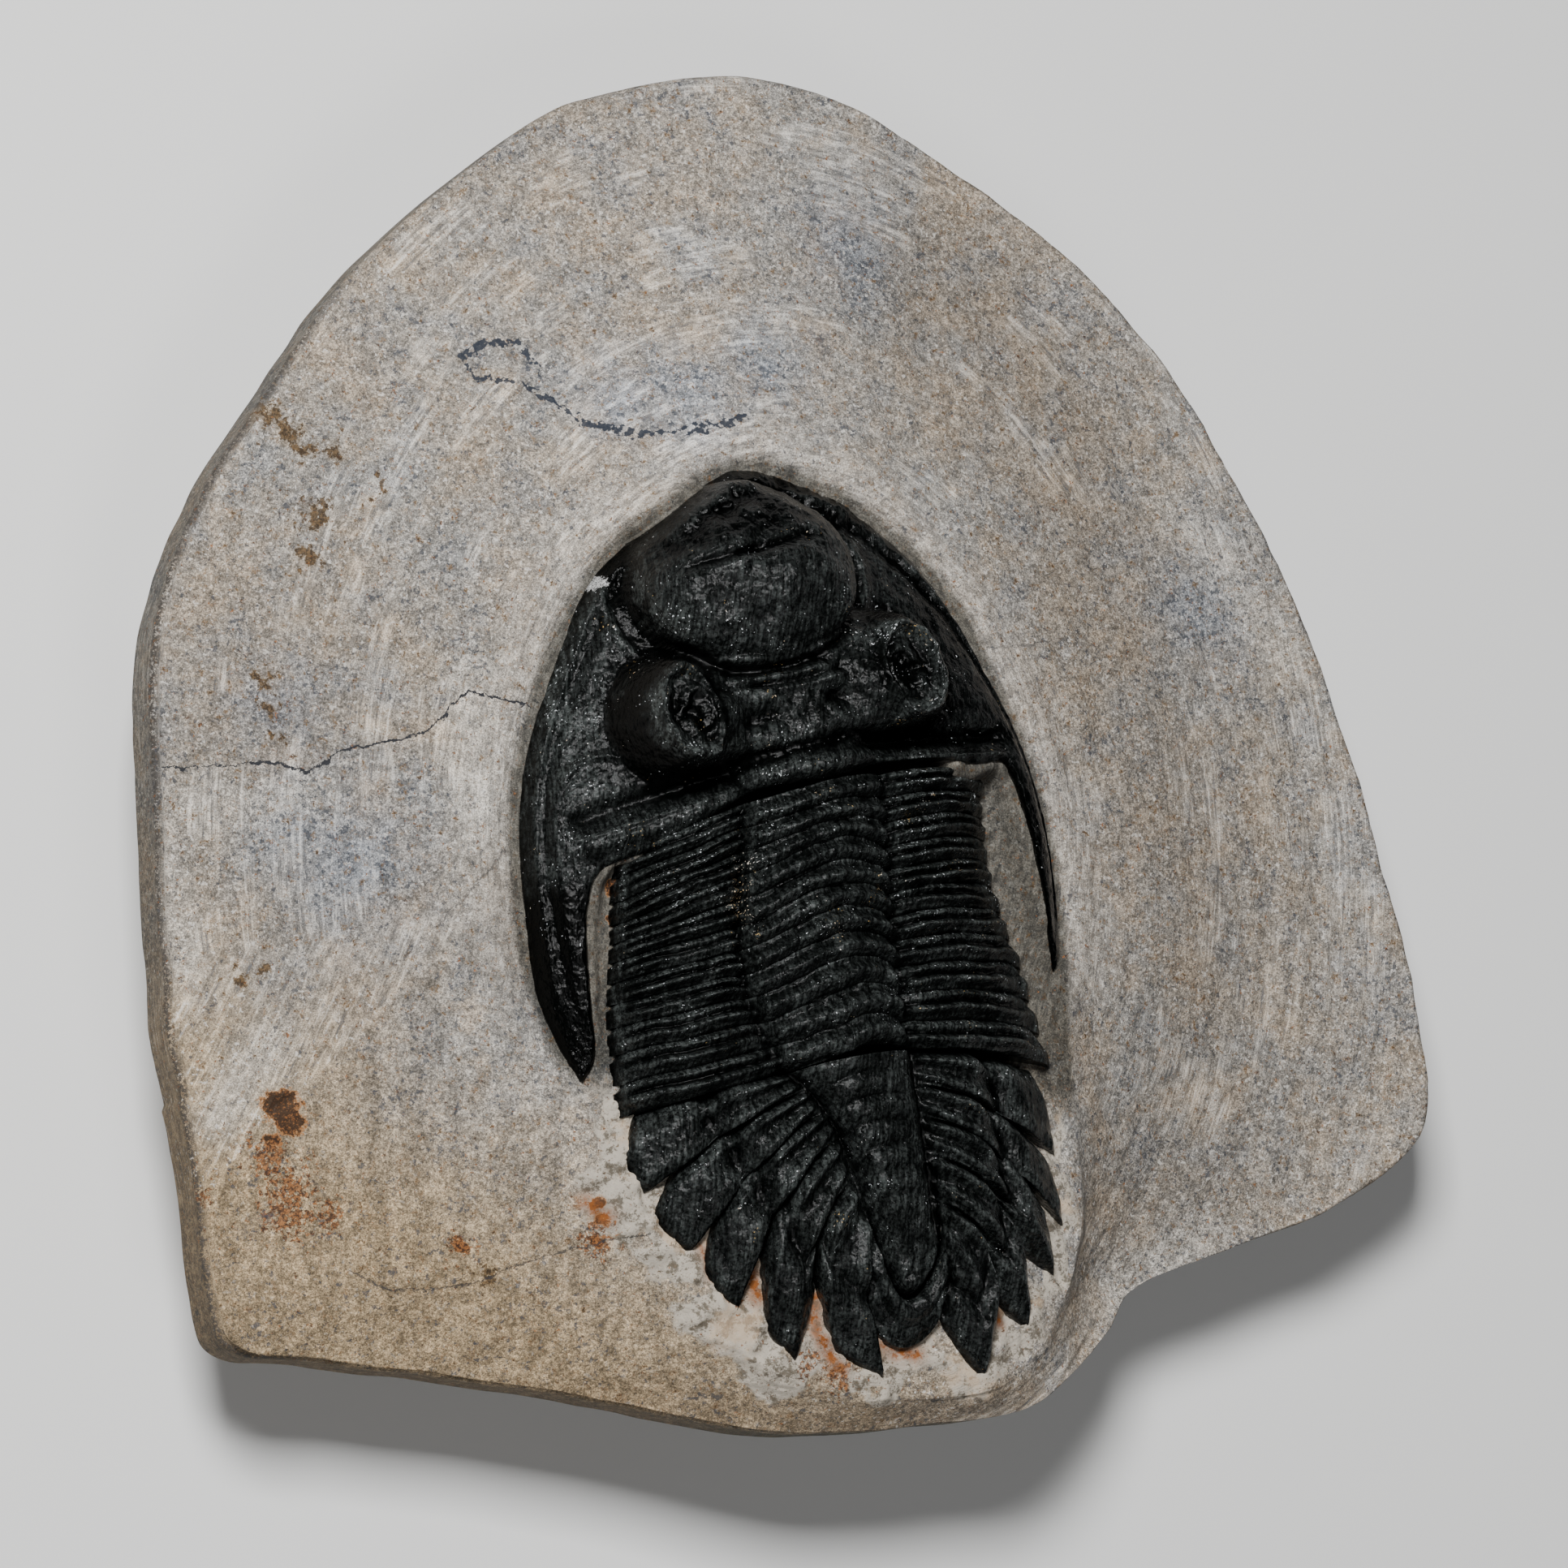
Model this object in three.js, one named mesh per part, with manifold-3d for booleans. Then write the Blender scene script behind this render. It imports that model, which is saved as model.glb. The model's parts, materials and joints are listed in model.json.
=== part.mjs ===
// A fossil trilobite, black calcite, still set in the top of its pale limestone block.
// Millimetres. +Z is up, +Y runs towards the head end, and the block rests on Z = 0.
// The animal is one head shield, eleven body segments and one tail shield, each a piece of its own.
import * as THREE from "three";
import { mergeVertices } from "three/addons/utils/BufferGeometryUtils.js";
import Module from "manifold-3d";

// Driving dimensions of the stone
const WALL_BAND = 3.6; // upright band below the rim
const BASE_SHARE = 0.86; // how much of the outline the resting face keeps
const RIM_ROUND = 0.5; // soft corner along the rim
const POCKET_GAP = 0.3; // clearance round the fossil in its bed
const POCKET_FLOOR = 15.2;
const RIDGE_RISE = 1.9; // how high the bed climbs under the right cheek spine
const RIDGE_RUN = 2.3; // width of the slope that falls from that spine to the body

// Driving dimensions of the animal
const UNDERSIDE = POCKET_FLOOR + POCKET_GAP; // height of every piece's underside
const SEGMENTS = 11;
const SEGMENT_GAP = 0.18; // share of a segment's pitch left open between neighbours
const RING_SHARE = 1 / 3; // share of a segment's columns that lie on its axial ring
const RING_RELIEF = 0.3; // height of an axial ring over its furrows
const RIB_RELIEF = 0.34; // height of a rib over the furrows beside it
const RIB_SWEEP = 0.3; // how far a rib bows forward of the straight line to its end
const PLEURA_BULGE = 0.75; // how far a flank arches above the straight line to its edge

// The head's own frame: the middle of the neck ring, and the turn of the long axis
const NECK = [-4.6, -3.0];
const HEAD_TURN = THREE.MathUtils.degToRad(14.2);
const LOBE = { forward: 11.2, length: 5.6, width: 7.2, top: 27.1 };
const STALK = { top: 25.0, step: 0.35 };
const EYE = { forward: 4.4, side: 6.2, rim: 2.8, foot: 5.0, lid: 2.4, rimRise: 2.2 };
const NECK_TOP = 25.3;

// Outline of the stone, clockwise seen from above, from beside the left cheek spine.
// Each row: a point on the bed beside the fossil, the matching point on the rim, and how the slope bends.
const STONE = [
  [-16.9, -21.3, 18.8, -39.2, -22.5, 15.3, 1.2],
  [-18.4, -18.6, 18.5, -40.1, -18.0, 15.6, 1.2],
  [-20.0, -14.5, 18.4, -40.7, -12.5, 15.8, 1.2],
  [-20.7, -9.5, 18.4, -41.2, -7.0, 15.9, 1.1],
  [-20.8, -4.5, 18.5, -41.4, -1.0, 16.0, 1.1],
  [-19.9, 0.5, 18.6, -41.1, 5.0, 16.0, 1.1],
  [-17.9, 5.8, 18.9, -38.9, 11.5, 15.9, 1.1],
  [-14.8, 10.7, 19.1, -34.5, 18.8, 15.7, 1.2],
  [-11.0, 13.9, 19.4, -28.8, 26.6, 15.3, 1.3],
  [-7.0, 15.9, 19.6, -19.5, 35.4, 14.6, 1.3],
  [-3.2, 15.5, 19.5, -11.0, 39.1, 14.1, 1.3],
  [0.8, 13.9, 19.2, -1.0, 40.0, 13.6, 1.3],
  [4.2, 11.8, 18.6, 9.2, 36.2, 12.8, 1.3],
  [7.4, 8.8, 18.1, 17.5, 31.2, 12.4, 1.3],
  [9.9, 4.6, 17.7, 24.6, 24.0, 12.1, 1.3],
  [12.0, 0.8, 17.3, 30.4, 15.0, 11.9, 1.3],
  [13.6, -3.4, 17.0, 35.0, 5.5, 11.7, 1.3],
  [14.5, -8.5, 16.9, 38.3, -4.5, 11.6, 1.4],
  [14.7, -13.0, 17.1, 40.9, -14.0, 11.5, 1.7],
  [14.6, -17.5, 17.3, 40.9, -20.6, 11.4, 2.2],
  [14.8, -22.0, 17.4, 35.0, -25.3, 11.5, 2.6],
  [15.0, -26.0, 17.6, 27.5, -28.4, 11.6, 2.6],
  [14.4, -30.0, 17.9, 21.2, -30.9, 12.0, 2.2],
  [12.6, -34.0, 18.3, 18.2, -34.0, 13.8, 1.5],
  [9.6, -37.2, 18.6, 12.2, -38.3, 16.2, 1.0],
  [4.5, -38.2, 18.8, 4.5, -39.7, 16.4, 1.0],
  [-1.0, -38.0, 18.7, -3.9, -40.2, 15.9, 1.0],
  [-5.8, -36.0, 18.6, -12.0, -39.0, 14.6, 1.1],
  [-9.6, -33.0, 18.6, -21.0, -37.7, 13.7, 1.1],
  [-12.3, -29.6, 18.6, -30.0, -36.8, 13.5, 1.1],
  [-14.6, -26.3, 18.7, -36.2, -35.9, 13.9, 1.1],
  [-15.9, -23.6, 18.8, -37.9, -29.0, 14.8, 1.2],
];

// Head shield, left cheek spine tip round the front to the right tip: outer margin, then inner margin.
const HEAD_OUTER = [
  [-16.4, -21.0, 19.0],
  [-17.7, -18.8, 18.6],
  [-19.0, -15.7, 18.4],
  [-19.7, -11.2, 18.4],
  [-20.1, -6.5, 18.5],
  [-19.6, -1.7, 18.6],
  [-18.0, 3.2, 18.8],
  [-16.0, 8.0, 19.0],
  [-12.3, 11.7, 19.3],
  [-8.7, 14.4, 19.5],
  [-6.7, 15.1, 19.5],
  [-2.8, 14.4, 19.3],
  [0.2, 13.2, 19.0],
  [3.3, 11.3, 18.6],
  [6.3, 8.4, 18.2],
  [9.0, 4.3, 17.8],
  [11.1, 0.9, 17.4],
  [12.7, -3.1, 17.1],
  [13.7, -8.0, 17.0],
  [13.9, -11.4, 17.3],
  [13.6, -12.9, 17.5],
];
const HEAD_INNER = [
  [-16.4, -21.0, 19.0],
  [-15.8, -19.4, 19.4],
  [-16.2, -17.1, 20.0],
  [-16.6, -13.8, 20.3],
  [-16.7, -11.0, 20.6],
  [-16.1, -9.0, 21.2],
  [-13.7, -7.9, 22.0],
  [-11.0, -6.4, 22.7],
  [-8.3, -4.6, 23.0],
  [-6.2, -4.0, 24.1],
  [-4.3, -3.6, 24.5],
  [-2.2, -3.0, 24.1],
  [0.2, -2.2, 23.0],
  [3.7, -1.6, 22.4],
  [6.7, -1.6, 21.4],
  [9.2, -1.4, 20.4],
  [10.7, -4.6, 20.3],
  [11.9, -8.6, 19.9],
  [12.8, -11.2, 18.6],
  [13.3, -12.4, 17.9],
  [13.6, -12.9, 17.5],
];

// Body, from the head backwards: edge, furrow, crest, furrow, edge, from left to right.
const BODY_ROWS = [
  [[-15.0, -9.3, 20.3], [-8.2, -5.1, 22.9], [-4.7, -4.3, 24.7], [0.2, -2.8, 22.9], [8.4, -2.1, 18.8]],
  [[-15.2, -11.8, 20.3], [-8.35, -8.8, 22.9], [-4.8, -8.3, 24.8], [0.5, -6.7, 22.9], [8.7, -5.2, 18.5]],
  [[-15.2, -14.8, 20.1], [-8.35, -12.7, 22.7], [-4.5, -11.9, 24.6], [0.8, -10.4, 22.7], [9.6, -8.9, 18.2]],
  [[-15.1, -18.3, 19.7], [-7.6, -16.4, 22.4], [-3.5, -15.7, 24.1], [1.4, -14.2, 22.4], [11.4, -13.3, 18.0]],
  [[-14.4, -22.9, 19.4], [-5.2, -20.1, 22.0], [-1.9, -19.7, 23.6], [2.2, -18.5, 22.0], [13.0, -18.6, 18.0]],
];

// Tail: where each rib border leaves the axis, where it ends at the margin, and each spine's tip.
const TAIL_LEFT = {
  roots: [[-5.1, -20.5, 22.0], [-3.9, -21.1, 21.9], [-2.8, -22.2, 21.7], [-1.6, -23.7, 21.5],
    [-0.5, -25.9, 21.2], [0.9, -29.3, 20.8]],
  gaps: [[-14.2, -23.4, 19.4], [-10.8, -25.1, 19.8], [-8.8, -28.0, 20.0], [-6.0, -30.5, 20.1],
    [-2.7, -32.3, 20.1], [0.8, -33.5, 20.0]],
  tips: [[-12.5, -27.1, 19.2], [-10.0, -30.8, 19.3], [-7.1, -33.7, 19.4], [-3.8, -36.1, 19.5],
    [1.7, -37.1, 19.6]],
};
const TAIL_RIGHT = {
  roots: [[2.3, -18.9, 22.0], [2.6, -20.5, 21.9], [3.0, -22.3, 21.7], [3.6, -24.4, 21.5],
    [4.2, -27.0, 21.2], [4.8, -29.8, 20.8]],
  gaps: [[11.3, -19.3, 18.8], [10.4, -22.1, 18.9], [11.0, -25.1, 19.0], [9.8, -28.7, 19.4],
    [7.8, -31.2, 19.7], [5.1, -33.2, 19.9]],
  tips: [[13.3, -23.6, 18.0], [13.9, -28.0, 18.2], [13.1, -30.8, 18.5], [11.1, -33.9, 18.8],
    [8.2, -36.7, 19.3]],
};
const TAIL_CREST = [
  [-1.8, -20.1, 23.5],
  [-0.5, -23.3, 23.1],
  [0.6, -26.4, 22.7],
  [1.6, -29.1, 22.3],
  [2.7, -31.4, 21.7],
];
const AXIS_END = [3.3, -32.4, 20.6];
const TAIL_LOBE = [3.2, -35.5, 19.4];
const LOBE_SPREAD = 0.5; // how far the end lobe swells to each side

const STONE_FINISH = { name: "limestone", color: 0x9b968c, roughness: 0.92, metalness: 0 };
const FOSSIL_FINISH = { name: "black_calcite", color: 0x17191a, roughness: 0.42, metalness: 0 };

const wasm = await Module();
wasm.setup();

const { clamp, lerp, smoothstep } = THREE.MathUtils;

// A smooth line through points [x, y, z], read by a share of its point count.
function smoothLine(points, closed = false) {
  const curve = new THREE.CatmullRomCurve3(
    points.map((p) => new THREE.Vector3(...p)),
    closed,
    "catmullrom",
    0.5,
  );
  return (share) => curve.getPoint(clamp(share, 0, 1)).toArray();
}

function mixPoints(a, b, share) {
  return a.map((value, i) => lerp(value, b[i], share));
}

function distance(a, b) {
  return Math.hypot(a[0] - b[0], a[1] - b[1], a[2] - b[2]);
}

// Triangles of a grid of points given as rows of equal length, each cell cut along its shorter diagonal.
function gridFaces(rows) {
  const faces = [];
  for (let i = 0; i + 1 < rows.length; i++) {
    for (let j = 0; j + 1 < rows[i].length; j++) {
      const [a, b, c, d] = [rows[i][j], rows[i][j + 1], rows[i + 1][j + 1], rows[i + 1][j]];
      if (distance(b, d) < distance(a, c)) faces.push([a, b, d], [b, c, d]);
      else faces.push([a, b, c], [a, c, d]);
    }
  }
  return faces;
}

// Gives each distinct point one number and drops triangles that have no area.
function indexFaces(faces) {
  const numbers = new Map();
  const points = [];
  const number = (p) => {
    const key = p.map((v) => Math.round(v * 1e4)).join();
    if (!numbers.has(key)) {
      numbers.set(key, points.length);
      points.push(p);
    }
    return numbers.get(key);
  };
  const triangles = faces
    .map((face) => face.map(number))
    .filter(([a, b, c]) => a !== b && b !== c && c !== a);
  return { points, triangles };
}

// The open edge of a surface, as one closed run of point numbers.
function openEdge(triangles) {
  const next = new Map();
  const sides = new Set();
  for (const t of triangles) {
    t.forEach((a, i) => sides.add(`${a},${t[(i + 1) % 3]}`));
  }
  for (const side of sides) {
    const [a, b] = side.split(",").map(Number);
    if (!sides.has(`${b},${a}`)) next.set(a, b);
  }
  const run = [next.keys().next().value];
  while (next.get(run[run.length - 1]) !== run[0]) {
    run.push(next.get(run[run.length - 1]));
  }
  return run;
}

// A flat face across a closed run of points, wound against the surface that the run borders.
function flatCap(points, run) {
  const outline = run.map((i) => new THREE.Vector2(points[i][0], points[i][1]));
  const faces = THREE.ShapeUtils.triangulateShape(outline, []);
  const area = THREE.ShapeUtils.area(faces[0].map((i) => outline[i]));
  const withRun = area > 0 !== THREE.ShapeUtils.isClockWise(outline);
  return faces.map((t) => (withRun ? t.reverse() : t).map((i) => run[i]));
}

// Closes a surface: an upright wall from its edge down to a floor, and a flat underside.
function closeDown(faces, floor) {
  const { points, triangles } = indexFaces(faces);
  const run = openEdge(triangles);
  const below = run.map((i) => points.push([points[i][0], points[i][1], floor]) - 1);
  run.forEach((a, i) => {
    const k = (i + 1) % run.length;
    triangles.push([a, below[k], run[k]], [a, below[i], below[k]]);
  });
  triangles.push(...flatCap(points, below));
  return { points, triangles, run };
}

function geometryOf({ points, triangles }) {
  const geometry = new THREE.BufferGeometry();
  geometry.setAttribute("position", new THREE.Float32BufferAttribute(points.flat(), 3));
  geometry.setIndex(triangles.flat());
  return geometry;
}

// Turns a surface that faces down the right way up.
function faceUp(shape) {
  const solid = new THREE.Vector3();
  let volume = 0;
  for (const [a, b, c] of shape.triangles) {
    solid.set(...shape.points[b]).cross(new THREE.Vector3(...shape.points[c]));
    volume += solid.dot(new THREE.Vector3(...shape.points[a]));
  }
  if (volume < 0) shape.triangles.forEach((t) => t.reverse());
  return shape;
}

function toSolid(geometry) {
  const merged = mergeVertices(geometry, 1e-4);
  return new wasm.Manifold(
    new wasm.Mesh({
      numProp: 3,
      vertProperties: merged.attributes.position.array,
      triVerts: new Uint32Array(merged.index.array),
    }),
  );
}

function fromSolid(solid) {
  const mesh = solid.getMesh();
  const geometry = new THREE.BufferGeometry();
  geometry.setAttribute("position", new THREE.BufferAttribute(mesh.vertProperties, 3));
  geometry.setIndex(new THREE.BufferAttribute(mesh.triVerts, 1));
  return geometry;
}

function addPiece(group, name, geometry, finish) {
  geometry.computeVertexNormals();
  const mesh = new THREE.Mesh(geometry, new THREE.MeshStandardMaterial(finish));
  mesh.name = name;
  group.add(mesh);
}

// A half-round hump: one at the middle, nought at and past the edge.
function hump(off, power = 0.5) {
  return Math.pow(Math.max(0, 1 - off * off), power);
}

// A rounded groove or ridge across a line, one on the line itself.
function bell(off, width) {
  return Math.exp(-((off / width) ** 2));
}

// Head shield

// Position in the head's own frame: forward of the neck ring, and to its right.
function headFrame(x, y) {
  const [dx, dy] = [x - NECK[0], y - NECK[1]];
  const [sin, cos] = [Math.sin(HEAD_TURN), Math.cos(HEAD_TURN)];
  return { forward: dy * cos - dx * sin, right: dx * cos + dy * sin };
}

// Each eye is a turret: a lid that climbs outwards to a crescent rim, and a steep outer wall.
function eyeRise(forward, side) {
  const reach = Math.hypot(forward - EYE.forward, side - EYE.side);
  const outward = smoothstep((side - EYE.side + 1.6) / (reach + 0.6), -0.35, 0.5);
  const lid = EYE.lid + EYE.rimRise * outward * smoothstep(reach, 0.3, EYE.rim);
  return lid * (1 - smoothstep(reach, EYE.rim, EYE.foot));
}

// The glabella: a broad front lobe, then a stalk with narrowing pairs of side lobes.
function glabellaRise(forward, side, skin) {
  const lobe = Math.hypot((forward - LOBE.forward) / LOBE.length, side / LOBE.width);
  const halfWidth = lerp(3.6, 6.4, smoothstep(forward, 0, 8));
  const steps = STALK.step * Math.cos(forward * 3.4) * smoothstep(side, 1.0, 2.6);
  const stalk = (STALK.top + steps - skin) * hump(side / halfWidth) * (1 - smoothstep(forward, 7, 10));
  const front = (LOBE.top - skin) * hump(lobe, 0.5);
  return Math.max(front, stalk) - 0.7 * bell(lobe - 1.08, 0.1);
}

// The neck ring and the ridge along the rear border, with a furrow in front of them.
function neckRise(forward, side, skin) {
  const ring = (NECK_TOP - skin) * hump(side / 4.3) + 0.3;
  return ring * bell(forward + 0.4, 0.8);
}

function headHeight(x, y, skin) {
  const { forward, right } = headFrame(x, y);
  const side = Math.abs(right);
  const inside = 1 - smoothstep(side, 12.5, 14.5);
  const raised = Math.max(glabellaRise(forward, side, skin), eyeRise(forward, side));
  const ahead = smoothstep(forward, 0.6, 1.9);
  return skin + inside * (raised * ahead + Math.max(0, neckRise(forward, side, skin)));
}

// Rows crowd together over the head itself and spread out along the two cheek spines.
function makeHead() {
  const outer = smoothLine(HEAD_OUTER);
  const inner = smoothLine(HEAD_INNER);
  const [around, across] = [58, 15];
  const rows = [];
  for (let i = 0; i <= around; i++) {
    const t = i / around + 0.07 * Math.sin((2 * Math.PI * i) / around);
    const fromTip = Math.min(t, 1 - t);
    const swell = 0.9 * smoothstep(fromTip, 0, 0.24);
    const row = [];
    for (let j = 0; j <= across; j++) {
      const inward = j / across;
      const [x, y, z] = mixPoints(inner(t), outer(t), inward);
      const skin = z + swell * Math.sin(Math.PI * inward);
      const onHead = fromTip > 0.22 && j < across;
      row.push([x, y, onHead ? headHeight(x, y, skin) : skin]);
    }
    rows.push(row);
  }
  return faceUp(closeDown(gridFaces(rows), UNDERSIDE));
}

// Body segments

// One border line across the body, at a share of its length from head to tail.
function bodyLine(columns, share) {
  return columns.map((column) => column(share));
}

// Height across a segment: half-round ring between the furrows, arched flanks beyond them.
function acrossBody(line, w) {
  const [edgeL, furrowL, crest, furrowR, edgeR] = line;
  if (Math.abs(w) <= RING_SHARE) {
    const s = w / RING_SHARE;
    const [x, y] = s < 0 ? mixPoints(crest, furrowL, -s) : mixPoints(crest, furrowR, s);
    const foot = s < 0 ? furrowL[2] : furrowR[2];
    return [x, y, foot + (crest[2] - foot) * hump(s, 0.6)];
  }
  const s = (Math.abs(w) - RING_SHARE) / (1 - RING_SHARE);
  const [x, y, z] = mixPoints(w < 0 ? furrowL : furrowR, w < 0 ? edgeL : edgeR, s);
  const sweep = RIB_SWEEP * Math.sin(Math.PI * s);
  return [x, y + sweep, z + PLEURA_BULGE * Math.sin(Math.PI * Math.pow(s, 0.8))];
}

// Relief along a segment: one round ring in the middle, two ribs with a furrow between on the flanks.
function segmentRelief(v, w) {
  const ring = RING_RELIEF * (hump(2 * v - 1) - 0.5);
  const ribs = RIB_RELIEF * (0.5 - Math.abs(Math.cos(2 * Math.PI * v)) * (v > 0.3 && v < 0.7 ? 0.7 : 1));
  return Math.abs(w) < RING_SHARE ? ring : ribs;
}

function makeSegment(columns, index) {
  const [across, along] = [18, 4];
  const rows = [];
  for (let i = 0; i <= across; i++) {
    const w = (2 * i) / across - 1;
    const tip = 0.32 * smoothstep(Math.abs(w), 0.9, 1);
    const row = [];
    for (let j = 0; j <= along; j++) {
      const v = lerp(SEGMENT_GAP / 2 + tip, 1 - SEGMENT_GAP / 2, j / along);
      const [x, y, z] = acrossBody(bodyLine(columns, (index + v) / SEGMENTS), w);
      row.push([x, y, z + segmentRelief(j / along, w)]);
    }
    rows.push(row);
  }
  return faceUp(closeDown(gridFaces(rows), UNDERSIDE));
}

// Tail shield

// Lines that leave the axis and fan out over one side: rib borders, and between them three lines to each spine.
function tailSpokes({ roots, gaps, tips }) {
  const spokes = [];
  tips.forEach((tip, i) => {
    const [front, back] = [gaps[i], gaps[i + 1]];
    const ends = [front, mixPoints(front, tip, 0.62), tip, mixPoints(back, tip, 0.55)];
    ends[1][0] += (front[0] - back[0]) * 0.08;
    ends.forEach((end, k) => {
      const rib = Math.sin((Math.PI * k) / ends.length);
      spokes.push({ root: mixPoints(roots[i], roots[i + 1], k / ends.length), end, rib });
    });
  });
  spokes.push({ root: roots[roots.length - 1], end: gaps[gaps.length - 1], rib: 0 });
  return spokes;
}

function spokeRow({ root, end, rib }, steps) {
  const row = [];
  for (let j = 0; j <= steps; j++) {
    const s = j / steps;
    const [x, y, z] = mixPoints(root, end, s);
    const fade = smoothstep(s, 0, 0.2) * (1 - smoothstep(s, 0.75, 1));
    const arch = Math.sin(Math.PI * s);
    row.push([x, y + RIB_SWEEP * arch, z + 0.35 * arch + RIB_RELIEF * (rib - 0.4) * fade]);
  }
  return row;
}

// The end lobe: three lines from behind the axis to its rounded edge.
function lobeSpokes(left, right) {
  const ends = [mixPoints(left.end, TAIL_LOBE, 0.6), TAIL_LOBE, mixPoints(right.end, TAIL_LOBE, 0.6)];
  ends[0][0] -= LOBE_SPREAD;
  ends[2][0] += LOBE_SPREAD;
  return ends.map((end, k) => {
    const share = (k + 1) / 4;
    const [x, y] = mixPoints(left.root, right.root, share);
    const behind = lerp(y, AXIS_END[1], Math.sin(Math.PI * share));
    return { root: [x, behind, AXIS_END[2]], end, rib: 0.3 };
  });
}

// The axis: rounded rows from the left furrow over the crest to the right furrow.
function axisRows(left, right) {
  const crest = smoothLine(TAIL_CREST);
  return left.map((spoke, i) => {
    const top = crest(i / (left.length - 1));
    const ringed = top[2] + 0.12 * Math.cos(Math.PI * i);
    return Array.from({ length: 9 }, (_, j) => {
      const s = 1 - j / 4;
      const foot = s < 0 ? spoke.root : right[i].root;
      const [x, y] = mixPoints(top, foot, Math.abs(s));
      const rise = hump(s, 0.6);
      return [x, y + 0.2 * rise, foot[2] + (ringed - foot[2]) * rise];
    });
  });
}

function makeTail() {
  const left = tailSpokes(TAIL_LEFT);
  const right = tailSpokes(TAIL_RIGHT);
  const last = left.length - 1;
  const lobe = lobeSpokes(left[last], right[last]);
  const fan = [...left, ...lobe, ...right.slice().reverse()];
  const axis = axisRows(left, right);
  const end = axis[last];
  const rim = [end[0], ...lobe.map((spoke) => spoke.root).reverse(), end[8]];
  const faces = gridFaces(fan.map((spoke) => spokeRow(spoke, 8)));
  faces.push(...gridFaces(axis));
  faces.push(...gridFaces([end.filter((_, j) => j % 2 === 0), rim]));
  for (let j = 0; j < 8; j += 2) faces.push([end[j], end[j + 1], end[j + 2]]);
  return faceUp(closeDown(faces, UNDERSIDE));
}

// Limestone

// The bed between the right cheek spine and the body falls from the spine towards the body.
function spineRidge(x, y) {
  const run = smoothstep(y, -12.2, -9.6) * (1 - smoothstep(y, -3.2, -0.5));
  const off = x - 8.5 - 0.024 * (y + 2) ** 2;
  const climb = lerp(-0.6, RIDGE_RISE, clamp(off / RIDGE_RUN, 0, 1));
  return run * climb * smoothstep(off, -3, -0.5) * (1 - smoothstep(off, 3.0, 3.9));
}

function stoneRings() {
  const bed = smoothLine(STONE.map((p) => p.slice(0, 3)), true);
  const rim = smoothLine(STONE.map((p) => p.slice(3, 6)), true);
  const bend = smoothLine(STONE.map((p) => [p[6], 0, 0]), true);
  const turns = 72;
  const ring = (make) => Array.from({ length: turns + 1 }, (_, i) => make((i % turns) / turns));
  const middle = [-2, -10, 19.4];
  const inside = [0, 0.4, 0.68, 0.78, 0.86, 0.93].map((share) =>
    ring((t) => {
      const [x, y, z] = mixPoints(middle, bed(t), share);
      return [x, y, z + spineRidge(x, y)];
    }),
  );
  const slopes = [0, 0.08, 0.2, 0.36, 0.58, 0.8].map((share) =>
    ring((t) => {
      const [low, high] = [rim(t), bed(t)];
      const [x, y] = mixPoints(high, low, share);
      return [x, y, low[2] + RIM_ROUND * share + (high[2] - low[2]) * (1 - share) ** bend(t)[0]];
    }),
  );
  const corner = ring((t) => mixPoints(rim(t), middle, 0.012).with(2, rim(t)[2]));
  const edge = ring((t) => rim(t).with(2, rim(t)[2] - RIM_ROUND));
  const band = ring((t) => rim(t).with(2, rim(t)[2] - WALL_BAND));
  const base = ring((t) => mixPoints(middle, rim(t), BASE_SHARE).with(2, 0));
  return [...inside, ...slopes, corner, edge, band, base];
}

function makeStone() {
  const { points, triangles } = indexFaces(gridFaces(stoneRings()));
  triangles.push(...flatCap(points, openEdge(triangles)));
  return faceUp({ points, triangles });
}

// The outline of a piece moved out by the clearance, as a tall prism that digs its pocket.
function pocketFor({ points, run }) {
  const outline = run.map((i) => new THREE.Vector2(points[i][0], points[i][1]));
  const turn = THREE.ShapeUtils.isClockWise(outline) ? -1 : 1;
  const wide = outline.map((p, i) => {
    const before = outline[(i + outline.length - 1) % outline.length];
    const after = outline[(i + 1) % outline.length];
    const n1 = new THREE.Vector2(p.y - before.y, before.x - p.x).normalize().multiplyScalar(turn);
    const n2 = new THREE.Vector2(after.y - p.y, p.x - after.x).normalize().multiplyScalar(turn);
    const out = n1.clone().add(n2).normalize();
    const hollow = n1.cross(n2) * turn < 0;
    const stretch = 1 / Math.max(out.dot(n1), hollow ? 0.2 : 0.5);
    return p.clone().addScaledVector(out, POCKET_GAP * stretch);
  });
  const prism = new THREE.ExtrudeGeometry(new THREE.Shape(wide), { depth: 30, bevelEnabled: false });
  prism.translate(0, 0, POCKET_FLOOR);
  prism.deleteAttribute("normal");
  prism.deleteAttribute("uv");
  return toSolid(prism);
}

const trilobite = new THREE.Group();
const bodyColumns = [0, 1, 2, 3, 4].map((k) => smoothLine(BODY_ROWS.map((row) => row[k])));
const pieces = new Map([["cephalon", makeHead()]]);
for (let i = 0; i < SEGMENTS; i++) {
  pieces.set(`thorax_segment_${String(i + 1).padStart(2, "0")}`, makeSegment(bodyColumns, i));
}
pieces.set("pygidium", makeTail());

let stone = toSolid(geometryOf(makeStone()));
for (const piece of pieces.values()) stone = stone.subtract(pocketFor(piece));
addPiece(trilobite, "matrix", fromSolid(stone), STONE_FINISH);
for (const [name, piece] of pieces) addPiece(trilobite, name, geometryOf(piece), FOSSIL_FINISH);

export default trilobite;
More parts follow.
